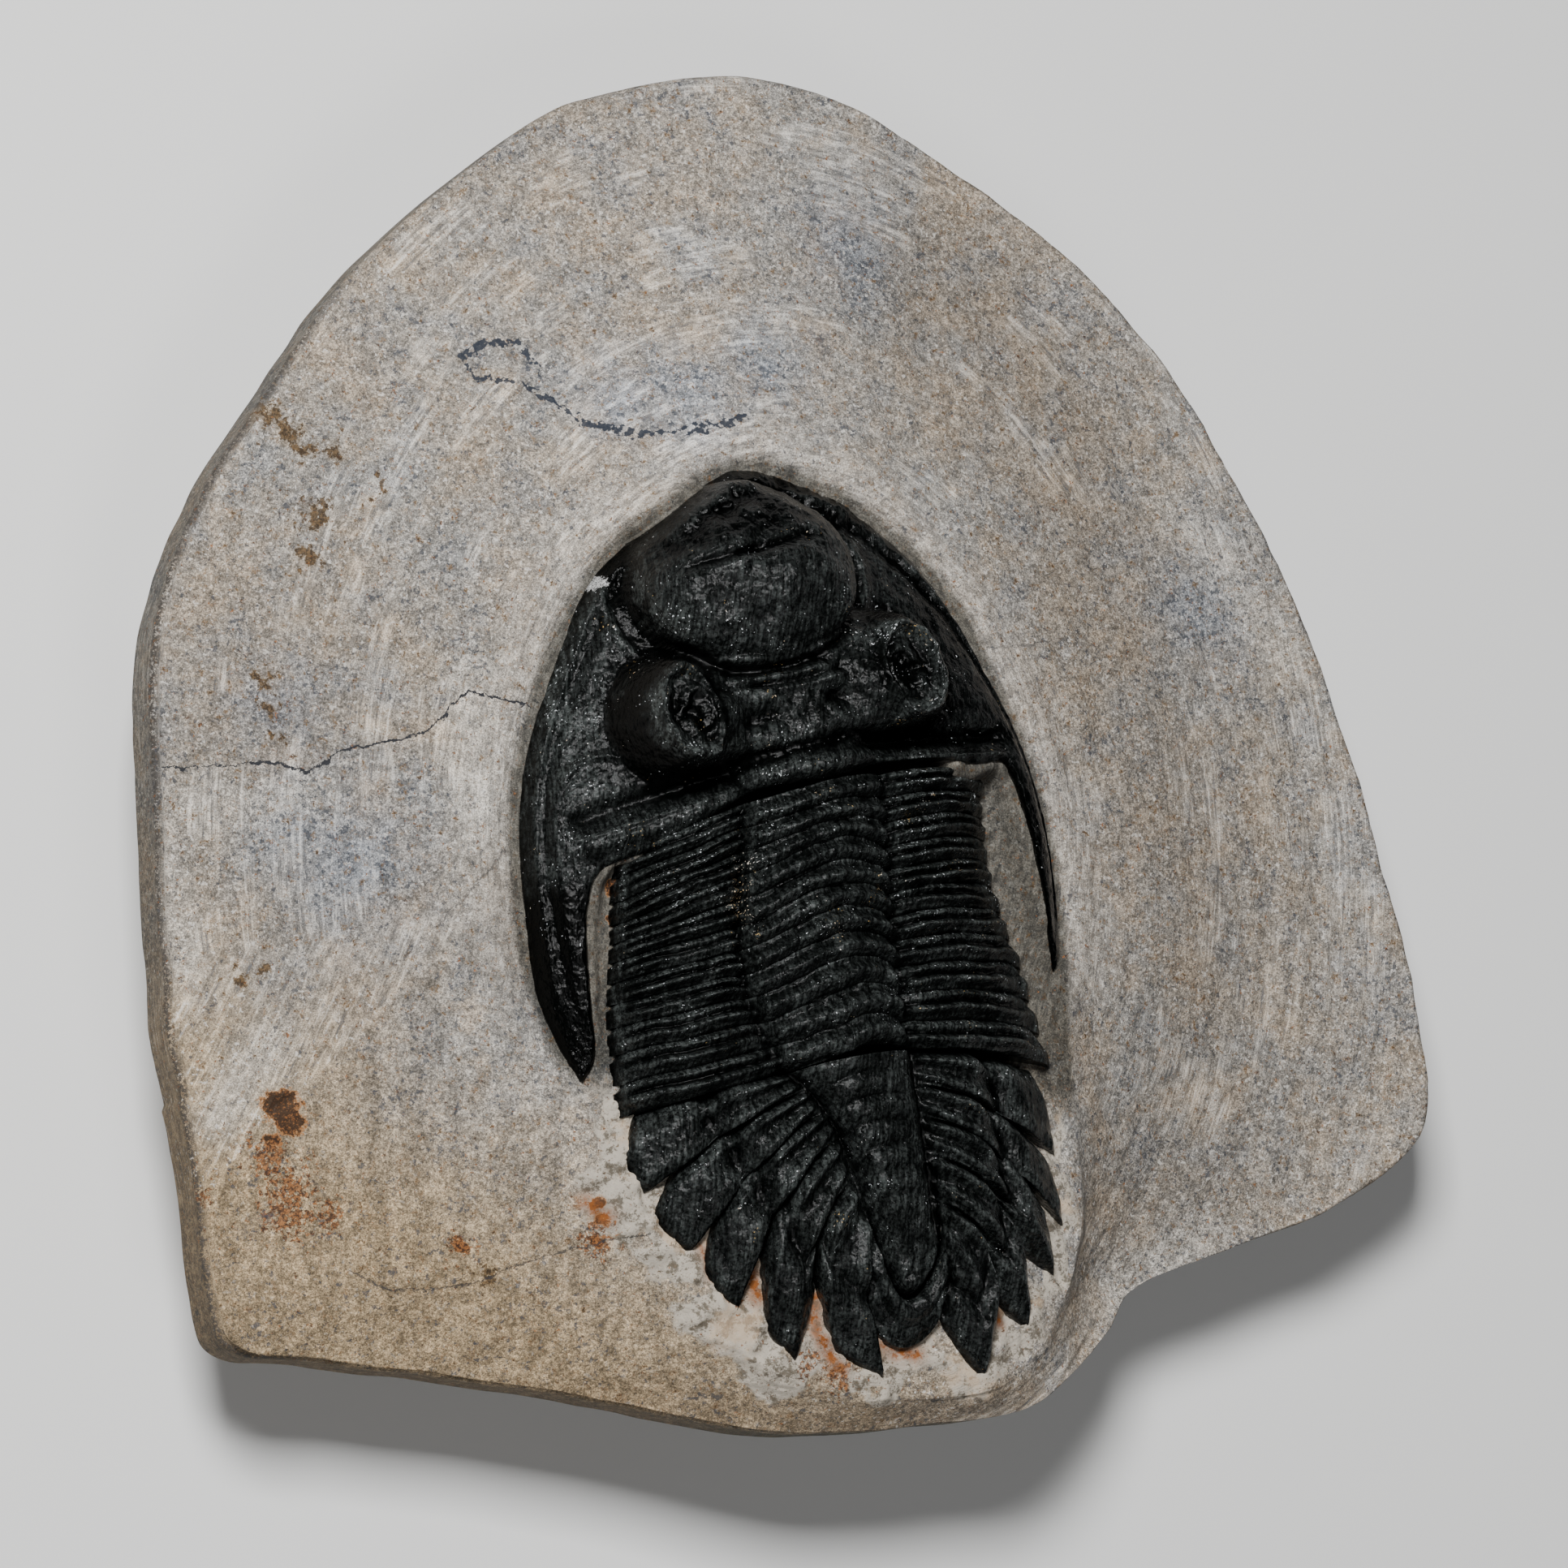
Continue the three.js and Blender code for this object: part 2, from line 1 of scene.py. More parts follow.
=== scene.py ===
# %% [markdown]
# # A trilobite still set in its limestone
# The real object is a pale grey block with a black fossil lying in relief on its top. A preparator has
# cut the rock away round the animal, so tool strokes fan out from it and a rough chalky band is left
# beside the tail spines.
# The solid parts come first. They are the fixed frame, and every surface below is worked out in the
# same place and size, in millimetres, and turned into metres only when it becomes a mesh.

import json

import bpy
import numpy as np
from mathutils import Matrix

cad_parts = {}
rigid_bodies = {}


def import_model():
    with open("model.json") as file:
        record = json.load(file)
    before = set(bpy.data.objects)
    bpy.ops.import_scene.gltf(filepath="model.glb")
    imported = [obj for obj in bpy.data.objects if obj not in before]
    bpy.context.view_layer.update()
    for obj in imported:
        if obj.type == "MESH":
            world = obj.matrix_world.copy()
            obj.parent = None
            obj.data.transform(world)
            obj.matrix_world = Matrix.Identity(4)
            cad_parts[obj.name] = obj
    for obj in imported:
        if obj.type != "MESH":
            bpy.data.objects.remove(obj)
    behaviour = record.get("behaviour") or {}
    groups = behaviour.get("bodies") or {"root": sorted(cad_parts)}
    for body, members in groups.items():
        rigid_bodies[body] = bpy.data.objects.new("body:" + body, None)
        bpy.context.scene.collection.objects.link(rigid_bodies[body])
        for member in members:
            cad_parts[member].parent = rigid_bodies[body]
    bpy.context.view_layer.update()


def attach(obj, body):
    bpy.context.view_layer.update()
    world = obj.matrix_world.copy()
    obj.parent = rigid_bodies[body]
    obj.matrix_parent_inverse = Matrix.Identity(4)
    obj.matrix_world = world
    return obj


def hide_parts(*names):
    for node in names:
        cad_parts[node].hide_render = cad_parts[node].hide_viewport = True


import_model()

MM = 0.001

# %% [markdown]
# ## Small tools for curves and relief
# A fossil is all rounded ridges and furrows. They could be sculpted by hand, but a formula can be read,
# checked and changed. Five small functions give nearly every form here: a curve through points, an eased
# step, a bell, a half-round hump, and a smooth random field for wear. A sixth finds the crests of a
# finished relief, because that is where a real surface gets scuffed and where a painted highlight goes.

# %% Curves, steps, bells and humps
def smooth_line(points, share, closed=False):
    """A curve through points. Each stretch is a cubic whose slope at a point is half the step between
    that point's two neighbours."""
    p = np.asarray(points, float)
    spans = len(p) if closed else len(p) - 1
    t = np.mod(share, 1) * spans if closed else np.clip(share, 0, 1) * spans
    i = np.minimum(t.astype(int), spans - 1)
    f = (t - i)[..., None]
    if closed:
        before, here, there, after = (p[(i + k) % len(p)] for k in (-1, 0, 1, 2))
    else:
        padded = np.vstack([2 * p[0] - p[1], p, 2 * p[-1] - p[-2]])
        before, here, there, after = (padded[i + k] for k in range(4))
    slope = (there - before) / 2
    bend = before - 2.5 * here + 2 * there - after / 2
    twist = 1.5 * (here - there) + (after - before) / 2
    return here + f * (slope + f * (bend + f * twist))


def ease(x, low, high):
    """Nought below low, one above high, and a smooth S between: three squares less two cubes."""
    s = np.clip((x - low) / (high - low), 0, 1)
    return s * s * (3 - 2 * s)


def bell(off, width):
    """One on the line itself, falling away as e to the minus square of the distance over the width."""
    return np.exp(-((off / width) ** 2))


def hump(off, power=0.5):
    """A half-round: one less the square of the distance, never below nought, raised to a power."""
    return np.clip(1 - off * off, 0, None) ** power


def mix(a, b, share):
    """A straight blend from a to b."""
    return a + (b - a) * share


print("a bell at one width from its line:", bell(1, 1).round(3))


# %% Grain and crests
def grain(x, y, size, seed, octaves=3):
    """A smooth random field from about -1 to 1: random numbers on a square lattice, blended with an
    eased curve, and each octave half as large and half as strong as the one before."""
    total = np.zeros(np.broadcast(x, y).shape)
    for octave in range(octaves):
        table = np.random.default_rng(seed + octave).uniform(-1, 1, (256, 256))
        u, v = x / size * 2**octave, y / size * 2**octave
        i, j = np.floor(u).astype(int), np.floor(v).astype(int)
        fu, fv = ease(u - i, 0, 1), ease(v - j, 0, 1)
        low = mix(table[i & 255, j & 255], table[(i + 1) & 255, j & 255], fu)
        high = mix(table[i & 255, (j + 1) & 255], table[(i + 1) & 255, (j + 1) & 255], fu)
        total += mix(low, high, fv) / 2**octave
    return total


def neighbourhood(values, reach):
    """The mean over a square of grid cells, from differences of running sums in both directions."""
    for axis in (0, 1):
        width = [(reach + 1, reach) if k == axis else (0, 0) for k in (0, 1)]
        sums = np.cumsum(np.pad(values, width, mode="edge"), axis=axis)
        count = sums.shape[axis] - 2 * reach - 1
        high = np.take(sums, np.arange(count) + 2 * reach + 1, axis=axis)
        values = (high - np.take(sums, np.arange(count), axis=axis)) / (2 * reach + 1)
    return values


def crest_share(grid, reach, depth):
    """From 0 in furrows to 1 on crests: the height above the neighbourhood's mean, over a depth."""
    height = grid[..., 2]
    return np.clip(0.5 + (height - neighbourhood(height, reach)) / depth, 0, 1)


ramp = np.linspace(0, 9, 40)
sample = grain(ramp, 0 * ramp, 2.0, 1)
print("grain along a line of 9 mm:", sample.min().round(2), "to", sample.max().round(2))


# %% [markdown]
# ## From a grid of points to a closed piece
# Each piece is a curved top whose rim drops straight into the stone, with a flat underside that is
# never seen. A Solidify modifier could give it thickness, but a skirt and one flat face keep the piece
# closed and end exactly where the solid part ends.

# %% Meshes from grids
def grid_cells(numbers, wrap=False):
    """Four-sided faces between neighbouring rows and columns of point numbers."""
    following = np.roll(numbers, -1, axis=1) if wrap else numbers[:, 1:]
    here = numbers if wrap else numbers[:, :-1]
    cells = np.stack([here[:-1], following[:-1], following[1:], here[1:]], axis=-1)
    return cells.reshape(-1, 4)


def put_in_mesh(name, points, faces, smooth_count, upside_down):
    """Makes the object. The first smooth_count faces are shaded round and the rest flat. Where the
    grid runs upside down, every face is turned over, so that all of them look outwards."""
    if upside_down:
        faces = [face[::-1] for face in faces]
    mesh = bpy.data.meshes.new(name)
    mesh.from_pydata(np.asarray(points) * MM, [], faces)
    rounded = np.arange(len(faces)) < smooth_count
    mesh.polygons.foreach_set("use_smooth", rounded)
    mesh.update()
    piece = bpy.data.objects.new(name, mesh)
    bpy.context.scene.collection.objects.link(piece)
    return piece


def skirted_piece(name, grid, floor, seam=False):
    """A closed piece from a grid of rows and columns: its open rim goes straight down to the floor
    height, and one flat face closes it. With a seam, the first column is an inner line on which the two
    halves of the grid meet, and it gets no skirt."""
    rows, columns = grid.shape[:2]
    numbers = np.arange(rows * columns).reshape(rows, columns)
    sides = [numbers[0, :-1], numbers[:-1, -1], numbers[-1, :0:-1]]
    sides.append(numbers[-1, :1] if seam else numbers[:0:-1, 0])
    rim = np.concatenate(sides)
    points = grid.reshape(-1, 3)
    below = points[rim].copy()
    below[:, 2] = floor
    low = np.arange(len(rim)) + len(points)
    skirt = np.stack([np.roll(rim, -1), rim, low, np.roll(low, -1)], axis=-1)
    if seam:
        skirt = skirt[:-1]
    cells = grid_cells(numbers)
    upside_down = np.cross(grid[1, 1] - grid[0, 1], grid[0, 2] - grid[0, 1])[2] > 0
    faces = cells.tolist() + skirt.tolist() + [low[::-1].tolist()]
    return put_in_mesh(name, np.vstack([points, below]), faces, len(cells), upside_down)


# %% Notes on a mesh, and its measures
def store(piece, name, values):
    """Keeps one number, or one vector, for every point of a piece, for its material to read."""
    vector = np.ndim(values) == 2
    kind, field = ("FLOAT_VECTOR", "vector") if vector else ("FLOAT", "value")
    attribute = piece.data.attributes.new(name, kind, "POINT")
    flat = np.zeros((len(piece.data.vertices),) + ((3,) if vector else ()), np.float32)
    flat[: len(values)] = values
    attribute.data.foreach_set(field, flat.ravel())


def report(piece):
    """Prints how large a piece came out. Its volume is the sum of the wedges between each triangle and
    the origin, and it is above nought only where the faces look outwards."""
    co = np.empty(len(piece.data.vertices) * 3, np.float32)
    piece.data.vertices.foreach_get("co", co)
    size = np.ptp(co.reshape(-1, 3), axis=0) / MM
    piece.data.calc_loop_triangles()
    corners = np.empty(len(piece.data.loop_triangles) * 3, np.int32)
    piece.data.loop_triangles.foreach_get("vertices", corners)
    a, b, c = (co.reshape(-1, 3)[corners[k::3]].astype(float) / MM for k in range(3))
    volume = np.einsum("ij,ij->i", a, np.cross(b, c)).sum() / 6
    print(f"{piece.name}: {len(a)} triangles, {size.round(1)} mm, {volume:.0f} cubic mm")


# %% [markdown]
# ## The camera of the photograph
# The picture was taken from above, leaning towards the animal's left side and a little towards its
# tail, with a long lens. The camera comes early, because marks on the stone, such as cracks and stains,
# are placed by where they show in the picture: the sight line through the spot is followed down to the
# stone.

# %% Camera and sight lines
PICTURE = 1932
TARGET = np.array([-4.25, -3.1, 19.0])
LEAN_LEFT, LEAN_TAIL = np.sin(np.radians(22)), np.sin(np.radians(9))
DISTANCE = 400.0
PIXELS_PER_MM = 21.4
SENSOR = 36

towards_camera = np.array([-LEAN_LEFT, -LEAN_TAIL, np.sqrt(1 - LEAN_LEFT**2 - LEAN_TAIL**2)])
picture_right = np.cross(-towards_camera, [0, 1, 0])
picture_right /= np.linalg.norm(picture_right)
picture_up = np.cross(picture_right, -towards_camera)
eye_point = TARGET + DISTANCE * towards_camera
focal = PIXELS_PER_MM * DISTANCE

camera_data = bpy.data.cameras.new("camera")
camera_data.sensor_width = SENSOR
camera_data.lens = SENSOR * focal / PICTURE
camera_data.clip_start = 0.01
camera_data.clip_end = 10
camera = bpy.data.objects.new("camera", camera_data)
bpy.context.scene.collection.objects.link(camera)
turn = np.column_stack([picture_right, picture_up, towards_camera])
camera.matrix_world = Matrix.Translation(eye_point * MM) @ Matrix(turn.tolist()).to_4x4()
bpy.context.scene.camera = camera
print("lens", round(camera_data.lens, 1), "mm, from", eye_point.round(1))


# %% Sight lines
def sight_lines(pixels):
    """The direction from the camera through each spot of the picture, as long as one unit of depth."""
    off = (np.asarray(pixels, float) - PICTURE / 2) / focal
    return off[:, :1] * picture_right - off[:, 1:] * picture_up - towards_camera


def on_surface(pixels, surface, first_height=17.0, rounds=4):
    """Where each spot of the picture lies on a cloud of surface points: the sight line is cut at a
    height, the nearest surface point gives a better height, and this is done a few times."""
    lines = sight_lines(pixels)
    height = np.full(len(lines), first_height)
    for _ in range(rounds):
        spots = eye_point + lines * ((height - eye_point[2]) / lines[:, 2])[:, None]
        gaps = np.linalg.norm(surface[None, :, :2] - spots[:, None, :2], axis=-1)
        height = surface[gaps.argmin(axis=1), 2]
    return spots


picture_middle = sight_lines([(PICTURE / 2, PICTURE / 2)])[0]
print("the middle of the picture is seen along", picture_middle.round(3))


# %% [markdown]
# ## The head shield
# A trilobite's head shield is one plate. In the middle stands the glabella, the swollen forehead over
# the stomach, with a large front lobe and small side lobes behind it. The eyes are crescent-shaped
# towers beside it, and the cheeks run back into two long spines.
# The plate is stretched between two lines, its outer margin and its rear margin. Relief is added by
# height alone, in a frame that is turned with the head, so that one formula makes both sides.

# %% Outer margin of the head
UNDERSIDE = 15.5

HEAD_OUTER = [
    (-16.4, -21.0, 19.0),
    (-17.7, -18.8, 18.6),
    (-19.0, -15.7, 18.4),
    (-19.7, -11.2, 18.4),
    (-20.1, -6.5, 18.5),
    (-19.6, -1.7, 18.6),
    (-18.0, 3.2, 18.8),
    (-16.0, 8.0, 19.0),
    (-12.3, 11.7, 19.3),
    (-8.7, 14.4, 19.5),
    (-6.7, 15.1, 19.5),
    (-2.8, 14.4, 19.3),
    (0.2, 13.2, 19.0),
    (3.3, 11.3, 18.6),
    (6.3, 8.4, 18.2),
    (9.0, 4.3, 17.8),
    (11.1, 0.9, 17.4),
    (12.7, -3.1, 17.1),
    (13.7, -8.0, 17.0),
    (13.9, -11.4, 17.3),
    (13.6, -12.9, 17.5),
]
print("outer head margin:", len(HEAD_OUTER), "points from one spine's tip to the other's")

# %% Rear margin of the head
HEAD_INNER = [
    (-16.4, -21.0, 19.0),
    (-15.8, -19.4, 19.4),
    (-16.2, -17.1, 20.0),
    (-16.6, -13.8, 20.3),
    (-16.7, -11.0, 20.6),
    (-16.1, -9.0, 21.2),
    (-13.7, -7.9, 22.0),
    (-11.0, -6.4, 22.7),
    (-8.3, -4.6, 23.0),
    (-6.2, -4.0, 24.1),
    (-4.3, -3.6, 24.5),
    (-2.2, -3.0, 24.1),
    (0.2, -2.2, 23.0),
    (3.7, -1.6, 22.4),
    (6.7, -1.6, 21.4),
    (9.2, -1.4, 20.4),
    (10.7, -4.6, 20.3),
    (11.9, -8.6, 19.9),
    (12.8, -11.2, 18.6),
    (13.3, -12.4, 17.9),
    (13.6, -12.9, 17.5),
]
print("rear head margin:", len(HEAD_INNER), "points")

# %% [markdown]
# The forms on the head follow the animal's own plan. Distances are in millimetres forward of the neck
# ring and out to the side. Each form is one bell, hump or step of those two distances, so the left and
# the right half come from the same lines.

# %% The front lobe and its stalk
NECK = np.array([-4.6, -3.0])
HEAD_TURN = np.radians(14.2)
LOBE_FORWARD, LOBE_SIDE, LOBE_WIDTH, LOBE_TOP = 11.2, -0.6, 6.6, 26.5
LOBE_AHEAD, LOBE_BEHIND = 6.3, 4.9
STALK_TOP = 24.9


def head_frame(x, y):
    """Forward of the neck ring and to its right, from plan position turned back by the head's turn."""
    dx, dy = x - NECK[0], y - NECK[1]
    forward = dy * np.cos(HEAD_TURN) - dx * np.sin(HEAD_TURN)
    return forward, dx * np.cos(HEAD_TURN) + dy * np.sin(HEAD_TURN)


def in_lobe(forward, right):
    """One on the outline of the front lobe and nought in its middle."""
    length = np.where(forward > LOBE_FORWARD, LOBE_AHEAD, LOBE_BEHIND)
    return np.hypot((forward - LOBE_FORWARD) / length, (right - LOBE_SIDE) / LOBE_WIDTH)


def glabella_relief(forward, right, skin):
    """The front lobe is a broad flat-topped dome. Behind it a narrowing stalk carries three pairs of low
    side lobes between slanting furrows, and two thin arcs follow the dome's rear edge."""
    side, lobe = np.abs(right), in_lobe(forward, right)
    lumps = 0.3 * grain(forward, right, 2.6, 5) - 1.7 * ease(forward, 11.5, 16.5)
    crease = 0.6 * bell(forward - 12.9 - 0.06 * right, 0.28) * bell((right + 1.6) / 3.6, 1)
    front = (LOBE_TOP + lumps - crease - skin) * hump(lobe, 0.33)
    half = mix(3.6, 5.6, ease(forward, 0, 8))
    slant = forward - 0.22 * side + 0.35 * grain(forward, right, 1.8, 3, 2)
    steps = 0.4 * np.cos(slant * 2.9 + 0.9) * ease(side, 0.7, 2.2)
    line = forward - 0.07 * side
    arcs = 0.3 * bell(line - 5.5, 0.26) + 0.22 * bell(line - 4.75, 0.2) - 0.25 * bell(line - 5.1, 0.16)
    stalk = (STALK_TOP + steps + arcs - skin) * hump(side / half, 0.4) * (1 - ease(forward, 7, 9.5))
    moat = 0.8 * bell(lobe - 1.06, 0.06) * (1 - 0.8 * ease(forward, 12, 15))
    lip = 0.35 * bell(lobe - 1.2, 0.06) * (1 - ease(forward, 11, 14)) * ease(side, 3, 5)
    return np.maximum(front, stalk) - moat + lip


print("front lobe:", 2 * LOBE_WIDTH, "mm wide, top at", LOBE_TOP, "mm")

# %% [markdown]
# Each eye is a tower with lenses on its outer wall. Seen from above it shows a ragged bright crescent,
# which is the broken rim, round a dark hollow. A revolved profile would give a round crater, so the rim
# and the foot are two distances that change with the direction from the eye's middle instead.

# %% Eyes
EYE_FORWARD, EYE_SIDE, EYE_RIM, EYE_FOOT = 4.4, 6.2, 2.6, 4.3


def outer_side(forward, side):
    """How far the eye's middle is, and a share that is one on its outer side and nought inwards."""
    reach = np.hypot(forward - EYE_FORWARD, side - EYE_SIDE)
    return reach, ease((side - EYE_SIDE + 0.9) / (reach + 0.5), -0.2, 0.55)


def eye_relief(forward, side):
    """Reach is the distance from the eye's middle. The wall is one less a power of the way from rim to
    foot, which is short and steep on the outer side and long and gentle inwards. The lid on it rises to
    the outer rim, where two raised arcs run round a hollow, and a low boss marks the middle."""
    reach, outer = outer_side(forward, side)
    lengthwise = ((forward - EYE_FORWARD) / (reach + 0.1)) ** 2
    rim, foot = mix(0.9, EYE_RIM + 0.5 * lengthwise, outer), mix(4.6, EYE_FOOT, outer)
    wall = 1 - np.clip((reach - rim) / (foot - rim), 0, 1) ** 1.3
    inside = rim - reach + 0.14 * grain(forward, side, 0.9, 23)
    lid = 2.9 + 0.8 * outer * (1 - ease(inside, 0, 2.4)) + 0.3 * grain(forward, side, 1.1, 19, 4)
    crescent = 0.5 * bell(inside - 0.15, 0.28) + 0.2 * bell(inside - 1.6, 0.22)
    crescent -= 0.28 * bell(inside - 0.85, 0.35)
    return (lid + outer * crescent + 0.25 * bell(reach, 0.9)) * wall


def lens_rows(forward, side):
    """Rows of small round lenses on the eye's outer wall: one wave outwards, one wave round."""
    reach, outer = outer_side(forward, side)
    around = np.arctan2(side - EYE_SIDE, forward - EYE_FORWARD)
    rows = np.cos(reach * 19) * (0.6 + 0.4 * np.cos(around * 30 + 1.6 * np.round(reach * 3)))
    return 0.05 * rows * bell(reach - 3.5, 0.5) * outer


print("eyes:", 2 * EYE_SIDE, "mm apart,", 2 * EYE_FOOT, "mm across the foot")

# %% Rear border and cheeks
NECK_TOP = 25.4


def rear_relief(forward, side, skin):
    """The neck ring in the middle, and on each side a border with a sharp crest and a furrow ahead."""
    ring = (NECK_TOP - skin) * hump(side / 4.2, 0.6) * bell(forward - 0.15, 0.85)
    line = forward + 0.1 + 0.1 * (side - 3.2)
    border = 0.55 * bell(line + 0.55, 0.5) + 0.34 * bell(line, 0.2)
    furrow = 0.75 * bell(line - 1.1, 0.5) * ease(side, 2.4, 4.2)
    collar = 0.35 * bell(forward - 1.45, 0.3) * hump(side / 4.6)
    return np.maximum(ring, 0) + border * ease(side, 3.2, 4.6) - furrow - collar


def cheek_relief(forward, right):
    """A short curved ridge on the left cheek, and low warts all over both cheeks."""
    arc = np.hypot(forward - 1.0, right + 11.6)
    ridge = 0.28 * bell(arc - 2.35, 0.2) * ease(forward, 1.6, 2.4) * ease(-right, 8.2, 9.2)
    warts = 0.07 * grain(forward, right, 0.55, 14, 1) * ease(np.abs(right), 5, 8)
    return ridge + warts


print("neck ring: top at", NECK_TOP, "mm")


# %% The head grid
HEAD_CEILING = 27.0


def head_grid(around=560, across=160):
    """Rows crowd together over the head and spread out on the spines. Each row is a straight blend from
    the rear margin to the outer margin, raised by a half wave and by the relief."""
    i = np.linspace(0.003, 0.997, around)
    t = i + 0.07 * np.sin(2 * np.pi * i)
    inward = np.linspace(0, 1, across)[None, :]
    inner, outer = smooth_line(HEAD_INNER, t)[:, None], smooth_line(HEAD_OUTER, t)[:, None]
    grid = mix(inner, outer, inward[..., None])
    x, y = grid[..., 0], grid[..., 1]
    from_tip = np.minimum(t, 1 - t)[:, None]
    skin = grid[..., 2] + 0.9 * ease(from_tip, 0, 0.24) * np.sin(np.pi * inward)
    width = np.linalg.norm((outer - inner)[..., :2], axis=-1)
    forward, right = head_frame(x, y)
    side = np.abs(right)
    on_head = ease(from_tip, 0.205, 0.25) * (1 - ease(side, 12.8, 15))
    raised = np.maximum(glabella_relief(forward, right, skin), eye_relief(forward, side))
    relief = raised * ease(forward, 0.7, 1.9) + rear_relief(forward, side, skin)
    z = skin + on_head * (relief + lens_rows(forward, side) + cheek_relief(forward, right))
    border = 0.22 * bell((1 - inward) * width - 0.8, 0.35) - 0.2 * bell((1 - inward) * width - 1.7, 0.45)
    edge = np.minimum(inward, 1 - inward) * width
    z += border * ease(width, 2, 4) - 0.4 * np.clip(1 - edge / 0.5, 0, 1) ** 2
    rough = 0.04 + 0.2 * ease(forward, 12.5, 15)
    rough += 0.06 * (1 - ease(edge, 0.3, 2.0)) * ease(from_tip, 0.2, 0.26)
    z += rough * grain(x, y, 0.9, 11) + 0.05 * grain(x, y, 0.35, 15)
    z += on_head * 0.16 * grain(x, y, 2.2, 18)
    grid[..., 2] = np.minimum(z, HEAD_CEILING)
    return grid


head_points = head_grid()
cephalon = skirted_piece("head_shield", head_points, UNDERSIDE)
report(cephalon)


# %% Wear, painted light and painted shade, and the chip on the head
def head_wear_and_light(grid):
    """How pale and matt the head is. Tool wear and a painted highlight pale the crests, and painted light
    pales the left cheek, the rear of the front lobe and both eye rims. Painted shade keeps the spines, the
    lens walls, the hollows inside the rims, the front and the far right cheek dark. Each place is a bell,
    a hump or a step, added or taken away."""
    forward, right = head_frame(grid[..., 0], grid[..., 1])
    side, lobe = np.abs(right), in_lobe(forward, right)
    reach, outer = outer_side(forward, side)
    cheek = bell((forward - 6.5) / 5.5, 1) * bell((right + 11.8) / 2.6, 1)
    rear = hump(np.minimum(lobe, 1)) * (1 - ease(forward, 11, 13))
    wall = outer * bell(reach - 3.6, 0.6)
    front = ease(forward, 12, 15)
    spines = ease(-forward, 2.5, 5)
    rim, hollow = outer * bell(reach - 2.5, 0.4), bell(reach - 0.7, 0.8)
    pale = 0.6 * crest_share(grid, 8, 0.45) + 0.55 * cheek + 0.12 * rear + rim
    dark = 0.9 * wall + 0.35 * front + 0.5 * spines + 0.5 * hollow + 0.2 * ease(right, 9, 11)
    return np.clip(pale - dark, 0, 1)


CHIP_FORWARD, CHIP_RIGHT = 13.3, -8.3
wear_and_light_on_head = head_wear_and_light(head_points).ravel()
store(cephalon, "wear_and_light", wear_and_light_on_head)
ahead, aside = head_frame(head_points[..., 0], head_points[..., 1])
chip_reach = np.hypot((ahead - CHIP_FORWARD) / 0.55, (aside - CHIP_RIGHT) / 0.9)
store(cephalon, "chip", bell(chip_reach, 1).ravel())
print("mean scuff on the head:", wear_and_light_on_head.mean().round(2))

# %% [markdown]
# ## The body segments
# Behind the head come eleven rings that could slide over each other, so the living animal could roll
# up. Each has a half-round ring over the axis and two ribbed flanks, and a furrow splits every flank
# into a narrow front rib and a broader rear rib. Each segment is a piece of its own here, and its front
# edge dives under the one before it, as on the real animal.

# %% Five lines along the body
SEGMENTS = 11
RING_SHARE = 1 / 3
BODY_ROWS = np.array([
    [(-15.0, -8.05, 20.3), (-8.2, -5.0, 22.9), (-4.7, -4.3, 24.7), (0.2, -2.8, 22.9), (8.4, -1.7, 18.8)],
    [(-15.2, -11.8, 20.3), (-8.35, -8.8, 22.9), (-4.8, -8.3, 24.8), (0.5, -6.7, 22.9), (8.7, -5.2, 18.5)],
    [(-15.2, -14.8, 20.1), (-8.35, -12.7, 22.7), (-4.5, -11.9, 24.6), (0.8, -10.4, 22.7), (9.6, -8.9, 18.2)],
    [(-15.1, -18.3, 19.7), (-7.6, -16.4, 22.4), (-3.5, -15.7, 24.1), (1.4, -14.2, 22.4), (11.4, -13.3, 18.0)],
    [(-14.4, -22.9, 19.4), (-5.2, -20.1, 22.0), (-1.9, -19.7, 23.6), (2.2, -18.5, 22.0), (13.0, -18.6, 18.0)],
])
print("body:", SEGMENTS, "segments along", np.ptp(BODY_ROWS[:, 2, 1]).round(1), "mm of crest")


def body_points(share, w):
    """A point of the smooth body. Share runs from head to tail, and w from the left edge at -1 over the
    crest at 0 to the right edge at 1. The ring is a half-round that bows forward, most of all right of
    its middle, and the flanks are arched."""
    left_edge, left_furrow, crest, right_furrow, right_edge = (
        smooth_line(BODY_ROWS[:, k], share) for k in range(5)
    )
    leftward = (w < 0)[..., None]
    furrow = np.where(leftward, left_furrow, right_furrow)
    edge = np.where(leftward, left_edge, right_edge)
    in_ring = np.clip(np.abs(w) / RING_SHARE, 0, 1)[..., None]
    on_flank = np.clip((np.abs(w) - RING_SHARE) / (1 - RING_SHARE), 0, 1)[..., None]
    p = np.where(on_flank > 0, mix(furrow, edge, on_flank), mix(crest, furrow, in_ring))
    s = on_flank[..., 0]
    rise = (crest - furrow)[..., 2] * hump(in_ring[..., 0], 0.85)
    arch = 1.15 * np.sin(np.pi * s**0.9) + 0.15 * s
    bow_size = 0.4 + 0.9 * ease(share, 0, 0.3) * (1 - 0.5 * ease(share, 0.75, 1))
    bow = bow_size * np.sin(np.pi * np.clip(w / RING_SHARE / 2 + 0.5, 0, 1) ** 1.5)
    p[..., 1] += np.where(w > 0, 0.3, 0.02) * np.sin(np.pi * s) + np.where(s > 0, 0, bow)
    p[..., 2] = np.where(s > 0, p[..., 2] + arch, furrow[..., 2] + rise)
    return p


# %% Relief across a ring and a flank
def ring_profile(v):
    """Along a ring from front to rear: a groove, a rise to a broad crest, and a sharp rear lip."""
    return 0.72 * ease(v, 0.1, 0.55) - 0.35 * ease(v, 0.9, 1.05) - 0.45 * ease(v, 0.62, 1.0) - 0.3


